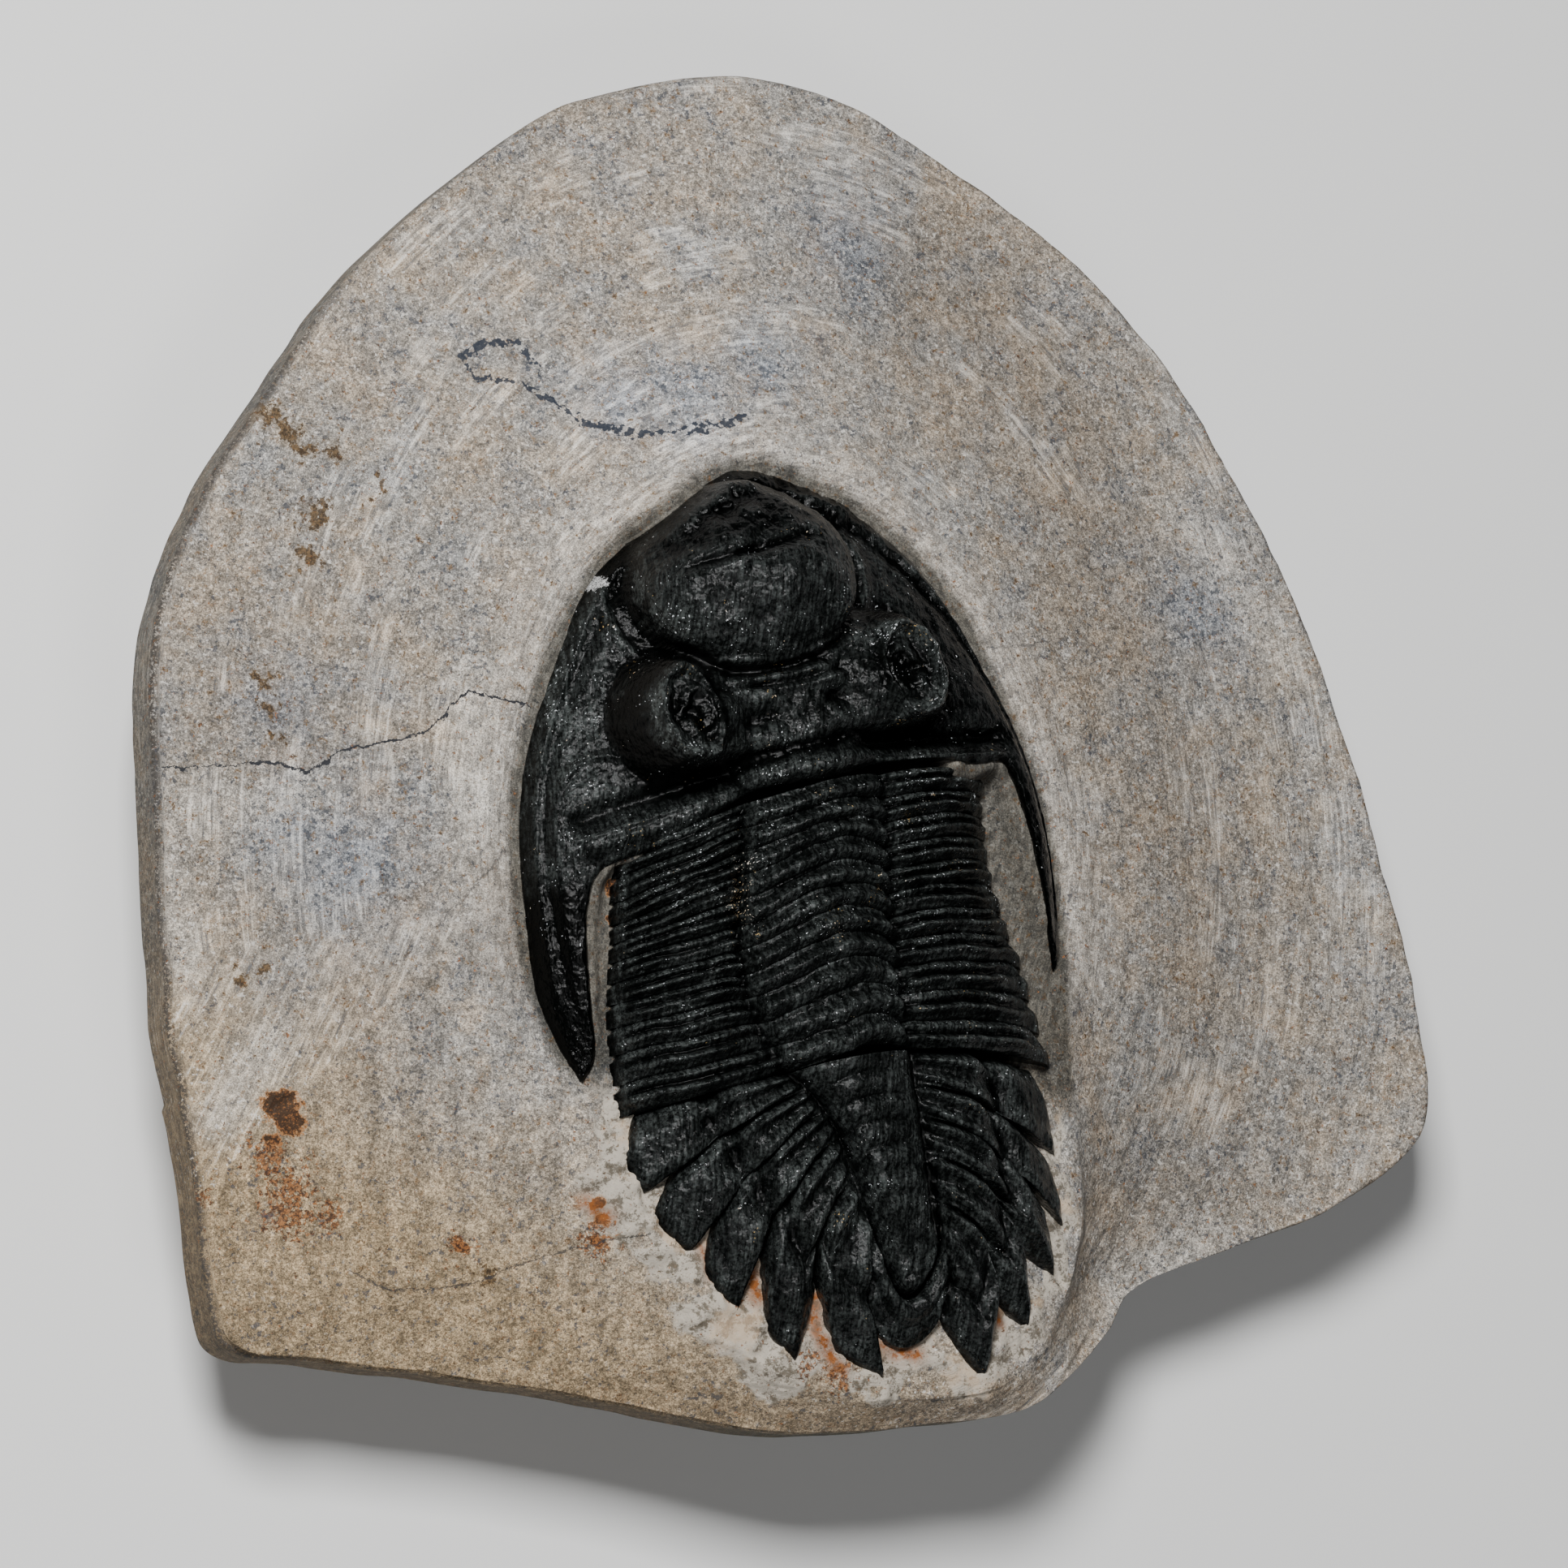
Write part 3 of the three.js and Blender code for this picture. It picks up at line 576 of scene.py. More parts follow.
def flank_profile(v, strong):
    """Along a flank: a thin front rib, a furrow, a broader rear rib, and a deep groove between
    segments. Strong scales the ribs."""
    front = 0.23 * bell(v - 0.2, 0.09)
    rear = 0.66 * bell(v - 0.63, 0.17)
    groove = 0.25 * bell(v - 0.43, 0.08) + 0.6 * ease(np.abs(v - 0.5), 0.4, 0.6)
    return (front + rear) * strong - groove


steps = np.linspace(0, 1, 101)
print("rise of a ring:", np.ptp(ring_profile(steps)).round(2), "mm, of a flank:",
      np.ptp(flank_profile(steps, 1)).round(2), "mm")


# %% Shape of one segment
def segment_grid(index, across=360, along=40):
    """One segment. Its front edge starts a quarter of a pitch early and dips under the one before. On
    the right the tips narrow from the front to blunt points that sweep back."""
    w = np.linspace(-1, 1, across)[:, None]
    j = np.linspace(0, 1, along)[None, :]
    left_tip, right_tip = ease(-w, 0.9, 1), ease(w, 0.8, 1)
    start = -0.25 + 0.45 * left_tip**2 + 0.75 * right_tip**1.5
    finish = 1.04 - 0.1 * left_tip**2 + (0.12 if index == SEGMENTS - 1 else 0.0)
    v = mix(start, finish, j)
    p = body_points((index + v) / SEGMENTS, np.broadcast_to(w, v.shape))
    x, y = p[..., 0], p[..., 1]
    ring = 1 - ease(np.abs(w), RING_SHARE - 0.03, RING_SHARE + 0.05)
    wander = v + 0.09 * grain(x, y * 0.2, 1.9, 300 + index, 2)
    strong = 1.05 + 0.7 * grain(x, y, 1.7, 330 + index, 2)
    flank = flank_profile(wander, strong) * (1 - 0.7 * np.maximum(left_tip, right_tip))
    z = mix(flank, ring_profile(wander) + 0.2 * grain(x, y, 1.3, 360 + index, 2), ring)
    z += 0.3 * bell(np.abs(w) - RING_SHARE + 0.05, 0.03) * bell(v - 0.55, 0.35)
    z -= 0.5 * bell(np.abs(w) - RING_SHARE - 0.02, 0.03) + 0.9 * ease(-v, -0.03, 0.22) * (1 - left_tip)
    z -= 0.55 * ease(np.abs(w), 0.95, 1.0) ** 2 + 0.3 * ease(-w, 0.84, 1.0) ** 1.5
    z += 0.09 * grain(x, y, 0.8, 31 + index) + 0.04 * grain(x, y, 0.3, 47) + 0.12 * grain(x, y, 2.6, 53, 2)
    p[..., 2] += z
    return p


segment_points = [segment_grid(k) for k in range(SEGMENTS)]
print("grid of one segment:", segment_points[0].shape[:2])

# %% [markdown]
# Besides its shape, each segment carries two notes for its finish: how far it stands out, because the
# crests are worn pale and carry a painted highlight, and how close it lies to the place of the golden
# crystals. Those gather in the left furrow, mostly on the fourth and the fifth segment.

# %% The eleven segments
GILT_PLACE, GILT_SEGMENT = -RING_SHARE - 0.03, 3.3

segments = []
for k, points in enumerate(segment_points):
    segment = skirted_piece(f"body_segment_{k + 1:02d}", points, UNDERSIDE)
    # Crest wear with a painted highlight: the crests of each segment are stored as pale.
    store(segment, "wear_and_light", (crest_share(points, 7, 0.7) - 0.12).ravel())
    in_furrow = bell(np.linspace(-1, 1, points.shape[0]) - GILT_PLACE, 0.07)[:, None]
    gilt = in_furrow * bell(k - GILT_SEGMENT, 1.8) * np.ones(points.shape[:2])
    store(segment, "gilt", gilt.ravel())
    segments.append(segment)
report(segments[0])
report(segments[-1])

# %% [markdown]
# ## The tail shield
# The last segments are fused into one fan. Its axis tapers to a rounded tongue, thin paired ribs leave
# it, and each pair widens into a flat blade that ends in a spine: five on each side and a round lobe
# in the middle.
# The fan is one grid of spokes. Every spoke starts on the crest of the axis, crosses the furrow beside
# it and runs out to the margin, whose line goes in and out round the spines.

# %% Crest and left side of the tail
TAIL_CREST = [
    (-1.7, -19.6, 23.7),
    (-0.5, -23.3, 23.1),
    (0.6, -26.4, 22.7),
    (1.6, -29.1, 22.3),
    (2.7, -31.2, 21.8),
]
LEFT_ROOTS = [
    (-5.1, -20.3, 22.0),
    (-3.9, -21.1, 21.9),
    (-2.8, -22.2, 21.7),
    (-1.6, -23.7, 21.5),
    (-0.5, -25.9, 21.2),
    (0.9, -29.3, 20.8),
]
LEFT_GAPS = [
    (-13.4, -22.4, 19.4),
    (-10.7, -25.0, 19.5),
    (-8.7, -27.9, 19.7),
    (-5.9, -30.4, 19.8),
    (-2.5, -32.1, 19.9),
    (0.7, -33.4, 19.9),
]
LEFT_CORNERS = [
    (-14.0, -25.3, 19.2),
    (-12.2, -28.2, 19.2),
    (-9.2, -31.2, 19.3),
    (-5.4, -34.4, 19.4),
    (-1.3, -35.6, 19.5),
]
LEFT_TIPS = [
    (-12.8, -27.1, 19.1),
    (-10.1, -30.4, 19.1),
    (-7.2, -33.7, 19.2),
    (-3.6, -36.3, 19.3),
    (1.7, -37.1, 19.4),
]
print("left tail spines:", len(LEFT_TIPS))

# %% Right side and end of the tail
RIGHT_ROOTS = [
    (2.3, -18.7, 22.0),
    (2.6, -20.5, 21.9),
    (3.0, -22.3, 21.7),
    (3.6, -24.4, 21.5),
    (4.2, -27.0, 21.2),
    (4.8, -29.8, 20.8),
]
RIGHT_GAPS = [
    (11.6, -18.9, 18.6),
    (10.4, -22.1, 18.7),
    (11.0, -25.1, 18.8),
    (9.8, -28.7, 19.2),
    (7.8, -31.2, 19.5),
    (5.1, -33.2, 19.8),
]
RIGHT_CORNERS = [
    (12.7, -21.2, 18.1),
    (12.9, -24.9, 18.3),
    (12.5, -28.3, 18.5),
    (10.9, -31.6, 18.9),
    (8.5, -34.2, 19.3),
]
RIGHT_TIPS = [
    (13.3, -23.8, 17.9),
    (13.7, -27.9, 18.1),
    (13.0, -30.8, 18.4),
    (11.0, -34.0, 18.8),
    (8.0, -36.9, 19.2),
]
AXIS_END = np.array([3.3, -32.5, 20.5])
LOBE_END = np.array([3.2, -35.5, 19.5])
print("right tail spines:", len(RIGHT_TIPS))

# %% Edge of one spine
TO_TIP = 0.7


def spine_margin(gap, corner, tip, next_gap, u, round_back):
    """The edge of one spine: from the gap a rounded leading edge over the corner to the tip, and from
    there a trailing edge back to the next gap, bulging to the right by round_back."""
    out = smooth_line([gap, corner, tip], u / TO_TIP)
    back = np.clip((u - TO_TIP) / (1 - TO_TIP), 0, 1)[:, None]
    home = mix(np.array(tip), np.array(next_gap), back)
    home[:, :1] += round_back * np.sin(np.pi * back) ** 0.6
    return np.where((u < TO_TIP)[:, None], out, home)


one_edge = spine_margin(LEFT_GAPS[0], LEFT_CORNERS[0], LEFT_TIPS[0], LEFT_GAPS[1], np.linspace(0, 1, 9), 0)
print("the first spine reaches", np.ptp(one_edge[:, 1]).round(1), "mm back")


# %% Spokes of the fan
def side_spokes(roots, gaps, corners, tips, outward, bulges, per_spine=46):
    """Crest, root, bend and end of every spoke on one side, and its place u across its own rib. The
    rear ribs leave the axis sideways before they turn back, so their bends lie further out."""
    u = np.linspace(0, 1, per_spine, endpoint=False)
    ends = [spine_margin(gaps[k], corners[k], tips[k], gaps[k + 1], u, bulges[k]) for k in range(len(tips))]
    ends = np.vstack(ends + [gaps[-1:]])
    place = np.append(np.tile(u, len(tips)), 0.0)
    share = np.linspace(0, 1, len(place))
    crest, root = smooth_line(TAIL_CREST, share), smooth_line(roots, share)
    bend = mix(root, ends, 0.5)
    bend[:, 0] += outward * (0.3 + 2.1 * ease(share, 0.2, 0.75) * (1 - 0.6 * ease(share, 0.85, 1)))
    bend[:, 1] += 0.5 + 0.6 * bell(share - 0.6, 0.3)
    return crest, root, bend, ends, place, share


CREST, ROOT, BEND, END, PLACE, SHARE = range(6)


def lobe_spokes(left, right, count=40):
    """The end lobe: spokes from the end of the axis round to the rounded rear margin."""
    a = np.linspace(0, 1, count + 2)[1:-1][:, None]
    roots, ends = (mix(left[k][-1], right[k][-1], a) for k in (ROOT, END))
    roots[:, 1:] = mix(roots[:, 1:], AXIS_END[1:], np.sin(np.pi * a) ** 0.8)
    ends[:, 1:] = mix(ends[:, 1:], LOBE_END[1:], np.sin(np.pi * a) ** 0.55)
    return np.repeat(np.array(TAIL_CREST[-1:]), count, axis=0), roots, mix(roots, ends, 0.5), ends


LEFT_BULGES = [-0.15, -0.3, -0.35, 0.1, -0.6]
RIGHT_BULGES = [-0.3, -0.35, -0.4, -0.45, -0.4]
left_fan = side_spokes(LEFT_ROOTS, LEFT_GAPS, LEFT_CORNERS, LEFT_TIPS, -1, LEFT_BULGES)
right_fan = side_spokes(RIGHT_ROOTS, RIGHT_GAPS, RIGHT_CORNERS, RIGHT_TIPS, 1, RIGHT_BULGES)
lobe_fan = lobe_spokes(left_fan, right_fan)
print("spokes:", [len(fan[CREST]) for fan in (left_fan, lobe_fan, right_fan)], "left, lobe, right")


# %% Relief of the tail
def rib_relief(u, s, lobe):
    """Across a rib and out along it. Near the axis two thin ridges stand side by side; then the flank
    drops a step and one broad blade goes on, parted from the next by a sharp groove."""
    ridges = 0.6 * bell(u - 0.2, 0.1) + 0.5 * bell(u - 0.62, 0.12) - 0.2
    blade = 0.62 * hump(2 * u - 1, 0.6) - 0.25 + 0.2 * bell(u - 0.25, 0.09) + 0.13 * bell(u - 0.6, 0.07)
    out = ease(s, 0.42, 0.58)
    groove = 0.6 * bell(np.minimum(u, 1 - u), 0.055) * (1 - ease(s, 0.94, 1))
    return (1 - lobe) * (mix(ridges, blade, out) * ease(s, 0, 0.08) - groove * ease(s, 0.02, 0.2))


def drop_share(s):
    """How much of the fall from root to margin is reached: a gentle start, a step, then a flat blade."""
    return 0.12 * s + 0.5 * ease(s, 0.36, 0.6) + 0.38 * ease(s, 0.6, 1.1) / ease(1.0, 0.6, 1.1)


print("share of the fall along a rib:", drop_share(np.linspace(0, 1, 6)).round(2))

# %% The tail grid
AXIS_PART = 0.25


def around_fan(k):
    """One point of every spoke, in order from the left front round the lobe to the right front."""
    return np.vstack([left_fan[k], lobe_fan[k], right_fan[k][::-1]])[:, None]


def tail_grid(across=120):
    """All spokes from crest to margin. The first part climbs down the half-round axis, and the rest
    crosses the ribbed flank on a curve that is pulled towards the bend. Both ends of the lobe fade in
    alike, so that the two sides of the crest meet exactly."""
    crest, root, bend, end = (around_fan(k) for k in (CREST, ROOT, BEND, END))
    count = len(lobe_fan[CREST])
    u = np.concatenate([left_fan[PLACE], np.full(count, 0.5), right_fan[PLACE][::-1]])[:, None]
    down_axis = np.concatenate([left_fan[SHARE], np.ones(count), right_fan[SHARE][::-1]])[:, None]
    number = np.arange(len(crest))[:, None]
    first, last = len(left_fan[CREST]), len(left_fan[CREST]) + count
    lobe = ease(number, first - 4, first + 2) * (1 - ease(number, last - 3, last + 3))
    q = np.linspace(0, 1, across)[None, :]
    in_axis = np.clip(q / AXIS_PART, 0, 1)
    s = np.clip((q - AXIS_PART) / (1 - AXIS_PART), 0, 1)
    curve = mix(mix(root, bend, s[..., None]), mix(bend, end, s[..., None]), s[..., None])
    p = np.where(q[..., None] < AXIS_PART, mix(crest, root, in_axis[..., None]), curve)
    rise = hump(in_axis, 0.6)
    ring_phase = (0.3 * p[..., 0] - p[..., 1] + 0.9 * rise) / 1.5
    rings = 0.32 * np.abs(np.sin(np.pi * ring_phase)) ** 0.7 * (1 - 0.5 * ease(down_axis, 0.6, 0.8)) - 0.25
    axis_z = root[..., 2] + (crest[..., 2] - root[..., 2] + rings) * rise
    fan_z = mix(root[..., 2], end[..., 2], drop_share(s)) + 0.45 * np.sin(np.pi * s**0.6)
    fan_z += (1 - lobe) * (0.3 * bell(s - 0.74, 0.14) - 0.35 * bell(s - 0.53, 0.06))
    p[..., 1] += 0.35 * rise * (in_axis < 1) * (1 - lobe)
    z = np.where(in_axis < 1, axis_z, fan_z + rib_relief(u, s, lobe))
    z -= (0.2 + 0.7 * ease(down_axis, 0.4, 0.85)) * bell(q - 0.26, 0.05)
    z -= 0.45 * np.clip((s - 0.94) / 0.06, 0, 1) ** 2
    x, y = p[..., 0], p[..., 1]
    z += 0.08 * grain(x, y, 0.8, 71) + 0.04 * grain(x, y, 0.3, 77) + 0.14 * grain(x, y, 2.4, 79, 2)
    p[..., 2] = z
    return p


tail_points = tail_grid()
pygidium = skirted_piece("tail_shield", tail_points, UNDERSIDE, seam=True)
# A painted highlight at the root of the tail's left ribs, added to the crest wear and highlight.
painted_root_highlight = 0.5 * bell(np.hypot(tail_points[..., 0] + 1.0, (tail_points[..., 1] + 27.0) / 1.4), 1.7)
store(pygidium, "wear_and_light", (crest_share(tail_points, 9, 0.8) - 0.1 + painted_root_highlight).ravel())
report(pygidium)

# %% [markdown]
# ## The limestone block
# The block is sawn and ground, with an upright band round its rim and an undercut below. Its top falls
# gently from the fossil to the left and far sides and more steeply to the right.
# A sculpted blank would do, but a table keeps it plain: each row has a point on the fossil's bed, the
# matching point on the rim, and the power of the fall between the two. Rings are then blended from the
# middle to the bed and on to the rim, and carried down the band and in under the block.

# %% Outline of the block
STONE = np.array([
    (-16.9, -21.3, 18.8, -39.2, -22.5, 15.3, 1.2),
    (-18.4, -18.6, 18.5, -40.1, -18.0, 15.6, 1.2),
    (-20.0, -14.5, 18.4, -40.7, -12.5, 15.8, 1.2),
    (-20.7, -9.5, 18.4, -41.2, -7.0, 15.9, 1.1),
    (-20.8, -4.5, 18.5, -41.4, -1.0, 16.0, 1.1),
    (-19.9, 0.5, 18.6, -41.1, 5.0, 16.0, 1.1),
    (-17.9, 5.8, 18.9, -38.9, 11.5, 15.9, 1.1),
    (-14.8, 10.7, 19.1, -34.5, 18.8, 15.7, 1.2),
    (-11.0, 13.9, 19.4, -28.8, 26.6, 15.3, 1.3),
    (-7.0, 15.9, 19.6, -19.5, 35.4, 14.6, 1.3),
    (-3.2, 15.5, 19.5, -11.0, 39.1, 14.1, 1.3),
    (0.8, 13.9, 19.2, -1.0, 40.0, 13.6, 1.3),
    (4.2, 11.8, 18.6, 9.2, 36.2, 12.8, 1.3),
    (7.4, 8.8, 18.1, 17.5, 31.2, 12.4, 1.3),
    (9.9, 4.6, 17.7, 24.6, 24.0, 12.1, 1.3),
    (12.0, 0.8, 17.3, 30.4, 15.0, 11.9, 1.3),
    (13.6, -3.4, 17.0, 35.0, 5.5, 11.7, 1.3),
    (14.5, -8.5, 16.9, 38.3, -4.5, 11.6, 1.4),
    (14.7, -13.0, 17.1, 40.9, -14.0, 11.5, 1.7),
    (14.6, -17.5, 17.3, 40.9, -20.6, 11.4, 2.2),
    (14.8, -22.0, 17.4, 35.0, -25.3, 11.5, 2.6),
    (15.0, -26.0, 17.6, 27.5, -28.4, 11.6, 2.6),
    (14.4, -30.0, 17.9, 21.2, -30.9, 12.0, 2.2),
    (12.6, -34.0, 18.3, 18.2, -34.0, 13.8, 1.5),
    (9.6, -37.2, 18.6, 12.2, -38.3, 16.2, 1.0),
    (4.5, -38.2, 18.8, 4.5, -39.7, 16.4, 1.0),
    (-1.0, -38.0, 18.7, -3.9, -40.2, 15.9, 1.0),
    (-5.8, -36.0, 18.6, -12.0, -39.0, 14.6, 1.1),
    (-9.6, -33.0, 18.6, -21.0, -37.7, 13.7, 1.1),
    (-12.3, -29.6, 18.6, -30.0, -36.8, 13.5, 1.1),
    (-14.6, -26.3, 18.7, -36.2, -35.9, 13.9, 1.1),
    (-15.9, -23.6, 18.8, -37.9, -29.0, 14.8, 1.2),
])
print("outline points:", len(STONE), " block:", np.ptp(STONE[:, 3:5], axis=0), "mm")

# %% Rings of the block
STONE_MIDDLE = np.array([-2.0, -10.0, 19.4])
WALL_BAND, RIM_ROUND, BASE_SHARE = 3.6, 0.5, 0.86
AROUND, TOP_RINGS, WALL_RINGS = 600, 88, 8


def stone_rows():
    """Rings from the middle of the bed out to the rim, down the upright band and in under the block.
    From bed to rim the height falls as one less the share of the way, raised to the row's power."""
    t = np.arange(AROUND) / AROUND
    bed = smooth_line(STONE[:, :3], t, closed=True)
    rim = smooth_line(STONE[:, 3:6], t, closed=True)
    power = smooth_line(STONE[:, 6:], t, closed=True)[:, 0]
    rim[:, :2] = mix(rim[:, :2], STONE_MIDDLE[:2], 0.004 + 0.004 * grain(t * 40, t * 0, 1, 5)[:, None])
    shares = np.concatenate([np.linspace(0.05, 0.5, 6), np.linspace(0.53, 1, 46)[:-1]])
    rows = [mix(STONE_MIDDLE, bed, share) for share in shares]
    bed_rows = len(rows)
    for share in np.linspace(0, 0.985, TOP_RINGS):
        ring = mix(bed, rim, share)
        ring[:, 2] = rim[:, 2] + RIM_ROUND * share + (bed[:, 2] - rim[:, 2]) * (1 - share) ** power
        rows.append(ring)
    top_rows = len(rows)
    for angle in np.radians([20, 45, 70, 90]):
        ring = mix(rim, STONE_MIDDLE, 0.015 * (1 - np.sin(angle)))
        ring[:, 2] = rim[:, 2] - RIM_ROUND + RIM_ROUND * np.cos(angle)
        rows.append(ring)
    for depth in np.linspace(RIM_ROUND, WALL_BAND, WALL_RINGS + 1)[1:]:
        ring = rim.copy()
        ring[:, 2] -= depth
        rows.append(ring)
    foot = mix(STONE_MIDDLE, rim, BASE_SHARE)
    foot[:, 2] = 0
    rows.extend(mix(rows[-1], foot, share) for share in np.linspace(0, 1, WALL_RINGS + 1)[1:])
    return np.array(rows), bed_rows, top_rows


stone_points, stone_bed_rows, stone_top_rows = stone_rows()
print("block rings:", len(stone_points), "of which on the bed:", stone_bed_rows, "on top:", stone_top_rows)

# %% [markdown]
# Close to the fossil the rock was left flush with each plate's edge. The visible edge lines are
# collected once, and the height beside them is a weighted mean of the nearest edge heights, which also
# fills the narrow gaps beside the spines.

# %% Edges of the plates
def edge_lines():
    """The outer head margin, both sides of both cheek spines, the ends of the segments and the tail's
    margin, thinned to one point in a few."""
    spine_rows = len(head_points) // 4
    lines = [head_points[::2, -1], head_points[:spine_rows:2, 0], head_points[-spine_rows::2, 0]]
    lines += [points[0, 6::6] for points in segment_points]
    lines += [points[-1, 6::6] for points in segment_points]
    lines.append(tail_points[::2, -1])
    return np.vstack(lines)


plate_edges = edge_lines()


def near_edges(points, chunk=4000):
    """For every point, how far the nearest edge is, and the mean edge height weighted by one over the
    fourth power of the distance."""
    distance, height = np.empty(len(points)), np.empty(len(points))
    for start in range(0, len(points), chunk):
        part = slice(start, start + chunk)
        gap = points[part, None, :2] - plate_edges[None, :, :2]
        square = (gap**2).sum(axis=-1) + 1e-3
        weight = 1 / square**2
        distance[part] = np.sqrt(square.min(axis=1))
        height[part] = (weight * plate_edges[:, 2]).sum(axis=1) / weight.sum(axis=1)
    return distance, height


edge_gap, edge_height = (
    values.reshape(stone_points.shape[:2]) for values in near_edges(stone_points.reshape(-1, 3))
)
print("plate edge points:", len(plate_edges))

# %% [markdown]
# The preparator's tools left strokes that ring the head and lie slantwise further out. Each stroke
# family gets its own pair of coordinates, along and across the strokes. The relief below and the
# material later read the same pair.

# %% Coordinates along and across the strokes
RING_MIDDLE, RING_SQUASH, RING_SIZE = (-3.0, -6.0), 0.8, 26
SLANT_MIDDLE, SLANT_ANGLE, SLANT_FAN = (-31.0, -16.0), np.radians(68), 0.006

x, y = stone_points[..., 0], stone_points[..., 1]
ring_x, ring_y = x - RING_MIDDLE[0], (y - RING_MIDDLE[1]) * RING_SQUASH
ring_radius = np.hypot(ring_x, ring_y)
ring_along = np.arctan2(ring_x, ring_y) * RING_SIZE
slant_x, slant_y = x - SLANT_MIDDLE[0], y - SLANT_MIDDLE[1]
slant = SLANT_ANGLE + SLANT_FAN * slant_x
slant_across = slant_x * np.sin(slant) - slant_y * np.cos(slant)
slant_along = slant_x * np.cos(slant) + slant_y * np.sin(slant)
print("strokes run up to", ring_radius.max().round(1), "mm from the head")

# %% [markdown]
# The top is worked in zones: level ground at the bottom left, slanting strokes beside it, a chalky band
# along the tail, and the ground between cheek spines and segments, which gets painted shade. Each zone is
# a product of eased steps in plan, with a grain added so that its edge wanders.

# %% Zones of the stone
row_number = np.arange(len(stone_points))[:, None] * np.ones_like(x)
on_top = 1 - ease(row_number, stone_top_rows, stone_top_rows + 4)
outside = ease(row_number, stone_bed_rows, stone_bed_rows + 9)
zone_edge = 0.5 * grain(x, y, 2.5, 71)
above_slope = ease(y + 13.7 - 1.07 * (x + 24.7) + zone_edge, -0.3, 0.4)
lower_left = above_slope * ease(0.27 * (x + 38) - 14.6 - y + zone_edge, -0.8, 1.0)
bottom_left = (1 - above_slope) * ease(-y, 9, 14) * ease(-x, -2, 6)

tail_side = ease(-y, 19, 24) * ease(x, -19, -15)
chalk_reach = mix(1.6, 2.6, ease(-x, -2, 6)) - 0.9 * ease(y, -27, -24)
chalk = (1 - ease(edge_gap + 0.7 * grain(x, y, 2.2, 59, 4), chalk_reach - 0.7, chalk_reach + 0.5)) * tail_side
chalk *= ease(grain(x, y, 1.3, 61) + 1.0, 0.1, 0.7) * on_top
# Painted shade for the ground between the cheek spines and the segments.
recess_shade = (1 - ease(row_number, stone_bed_rows - 2, stone_bed_rows + 2)) * (1 - ease(-y, 19.5, 22.5))
near_fossil = (1 - ease(edge_gap + 0.8 * grain(x, y, 3.0, 69), 1.6, 5.0)) * ease(y, -20, -12)
arris = bell(row_number - stone_top_rows - 1.5, 2.2) * ease(-x, 24, 34)
print("chalk points:", int((chalk > 0.5).sum()), " slanted:", int((lower_left > 0.5).sum()))

# %% Relief of the stone
ring_strokes = grain(ring_radius * 2.0, ring_along * 0.22, 1, 81, 2) * (1 - lower_left)
slant_strokes = grain(slant_across * 1.6, slant_along * 0.14, 1, 91, 2) * lower_left
flush = (1 - ease(edge_gap, 0.4, 2.6)) * on_top
height = mix(stone_points[..., 2], edge_height - 0.12, flush)
height += on_top * outside * (0.26 * grain(x, y, 7, 21) + 0.07 * grain(x, y, 1.6, 25))
height += on_top * (0.08 * (ring_strokes + slant_strokes) + 0.05 * grain(x, y, 0.6, 27))
height += chalk * (0.24 * grain(x, y, 0.9, 63) + 0.16 * grain(x, y, 0.4, 65) + 0.1)
height -= 0.25 * arris * ease(grain(x, y, 0.8, 67) + 0.2, 0, 0.8)
stone_points[..., 2] = np.maximum(height, 0)
print("highest stone:", height.max().round(2), "mm")

# %% [markdown]
# Cracks, stains and the dotted line on the stone are placed where they show in the picture. Each line
# is kept as a signed distance, positive on one side and negative on the other. Between mesh points that
# number passes smoothly through nought, so the material can draw a line far finer than the mesh.

# %% Where the lines show in the picture
CRACK_LEFT = [(168, 941), (225, 947), (285, 943), (330, 938), (378, 950), (399, 941), (425, 922), (455, 918),
              (520, 902), (535, 895), (555, 872), (575, 852), (600, 855), (645, 868)]
CRACK_VEIN = [(500, 1177), (545, 1135), (575, 1103), (620, 1050)]
CRACK_LOW = [(440, 1570), (480, 1588), (530, 1590), (580, 1583), (620, 1565), (700, 1540), (750, 1528),
             (800, 1520)]
CRACK_SMALL = [(352, 1420), (372, 1445), (400, 1470)]
CRACK_RIGHT = [(1210, 800), (1265, 795), (1318, 785)]
DOTTED_LINE = [(655, 445), (640, 425), (600, 420), (568, 440), (590, 468), (640, 470), (690, 500), (720, 520),
               (780, 535), (850, 530), (920, 515)]
print("the long crack spans", CRACK_LEFT[-1][0] - CRACK_LEFT[0][0], "of the picture's", PICTURE, "dots")

# %% Distance to a bent line
def signed_distance(line, points):
    """Distance in plan to the nearest stretch of a bent line, positive to its left and negative to its
    right: the foot of the upright on a stretch is the share of its run that the way there covers."""
    run = line[1:, :2] - line[:-1, :2]
    length = np.linalg.norm(run, axis=1)
    off = points[:, None, :2] - line[:-1, :2]
    share = np.clip((off * run).sum(-1) / length**2, 0, 1)
    far = np.linalg.norm(off - share[..., None] * run, axis=-1)
    nearest = far.argmin(axis=1)
    pick = np.arange(len(points)), nearest
    side = np.sign(run[nearest, 0] * off[pick][:, 1] - run[nearest, 1] * off[pick][:, 0])
    return far[pick] * side


straight = np.array([(0.0, 0.0), (10.0, 0.0)])
print("a spot 2 mm to the left of a line:", signed_distance(straight, np.array([(4.0, 2.0)])))

# %% Lines laid on the stone
FAR_OFF = 9.0

flat_stone = stone_points.reshape(-1, 3)
stone_top = stone_points[:stone_top_rows].reshape(-1, 3)


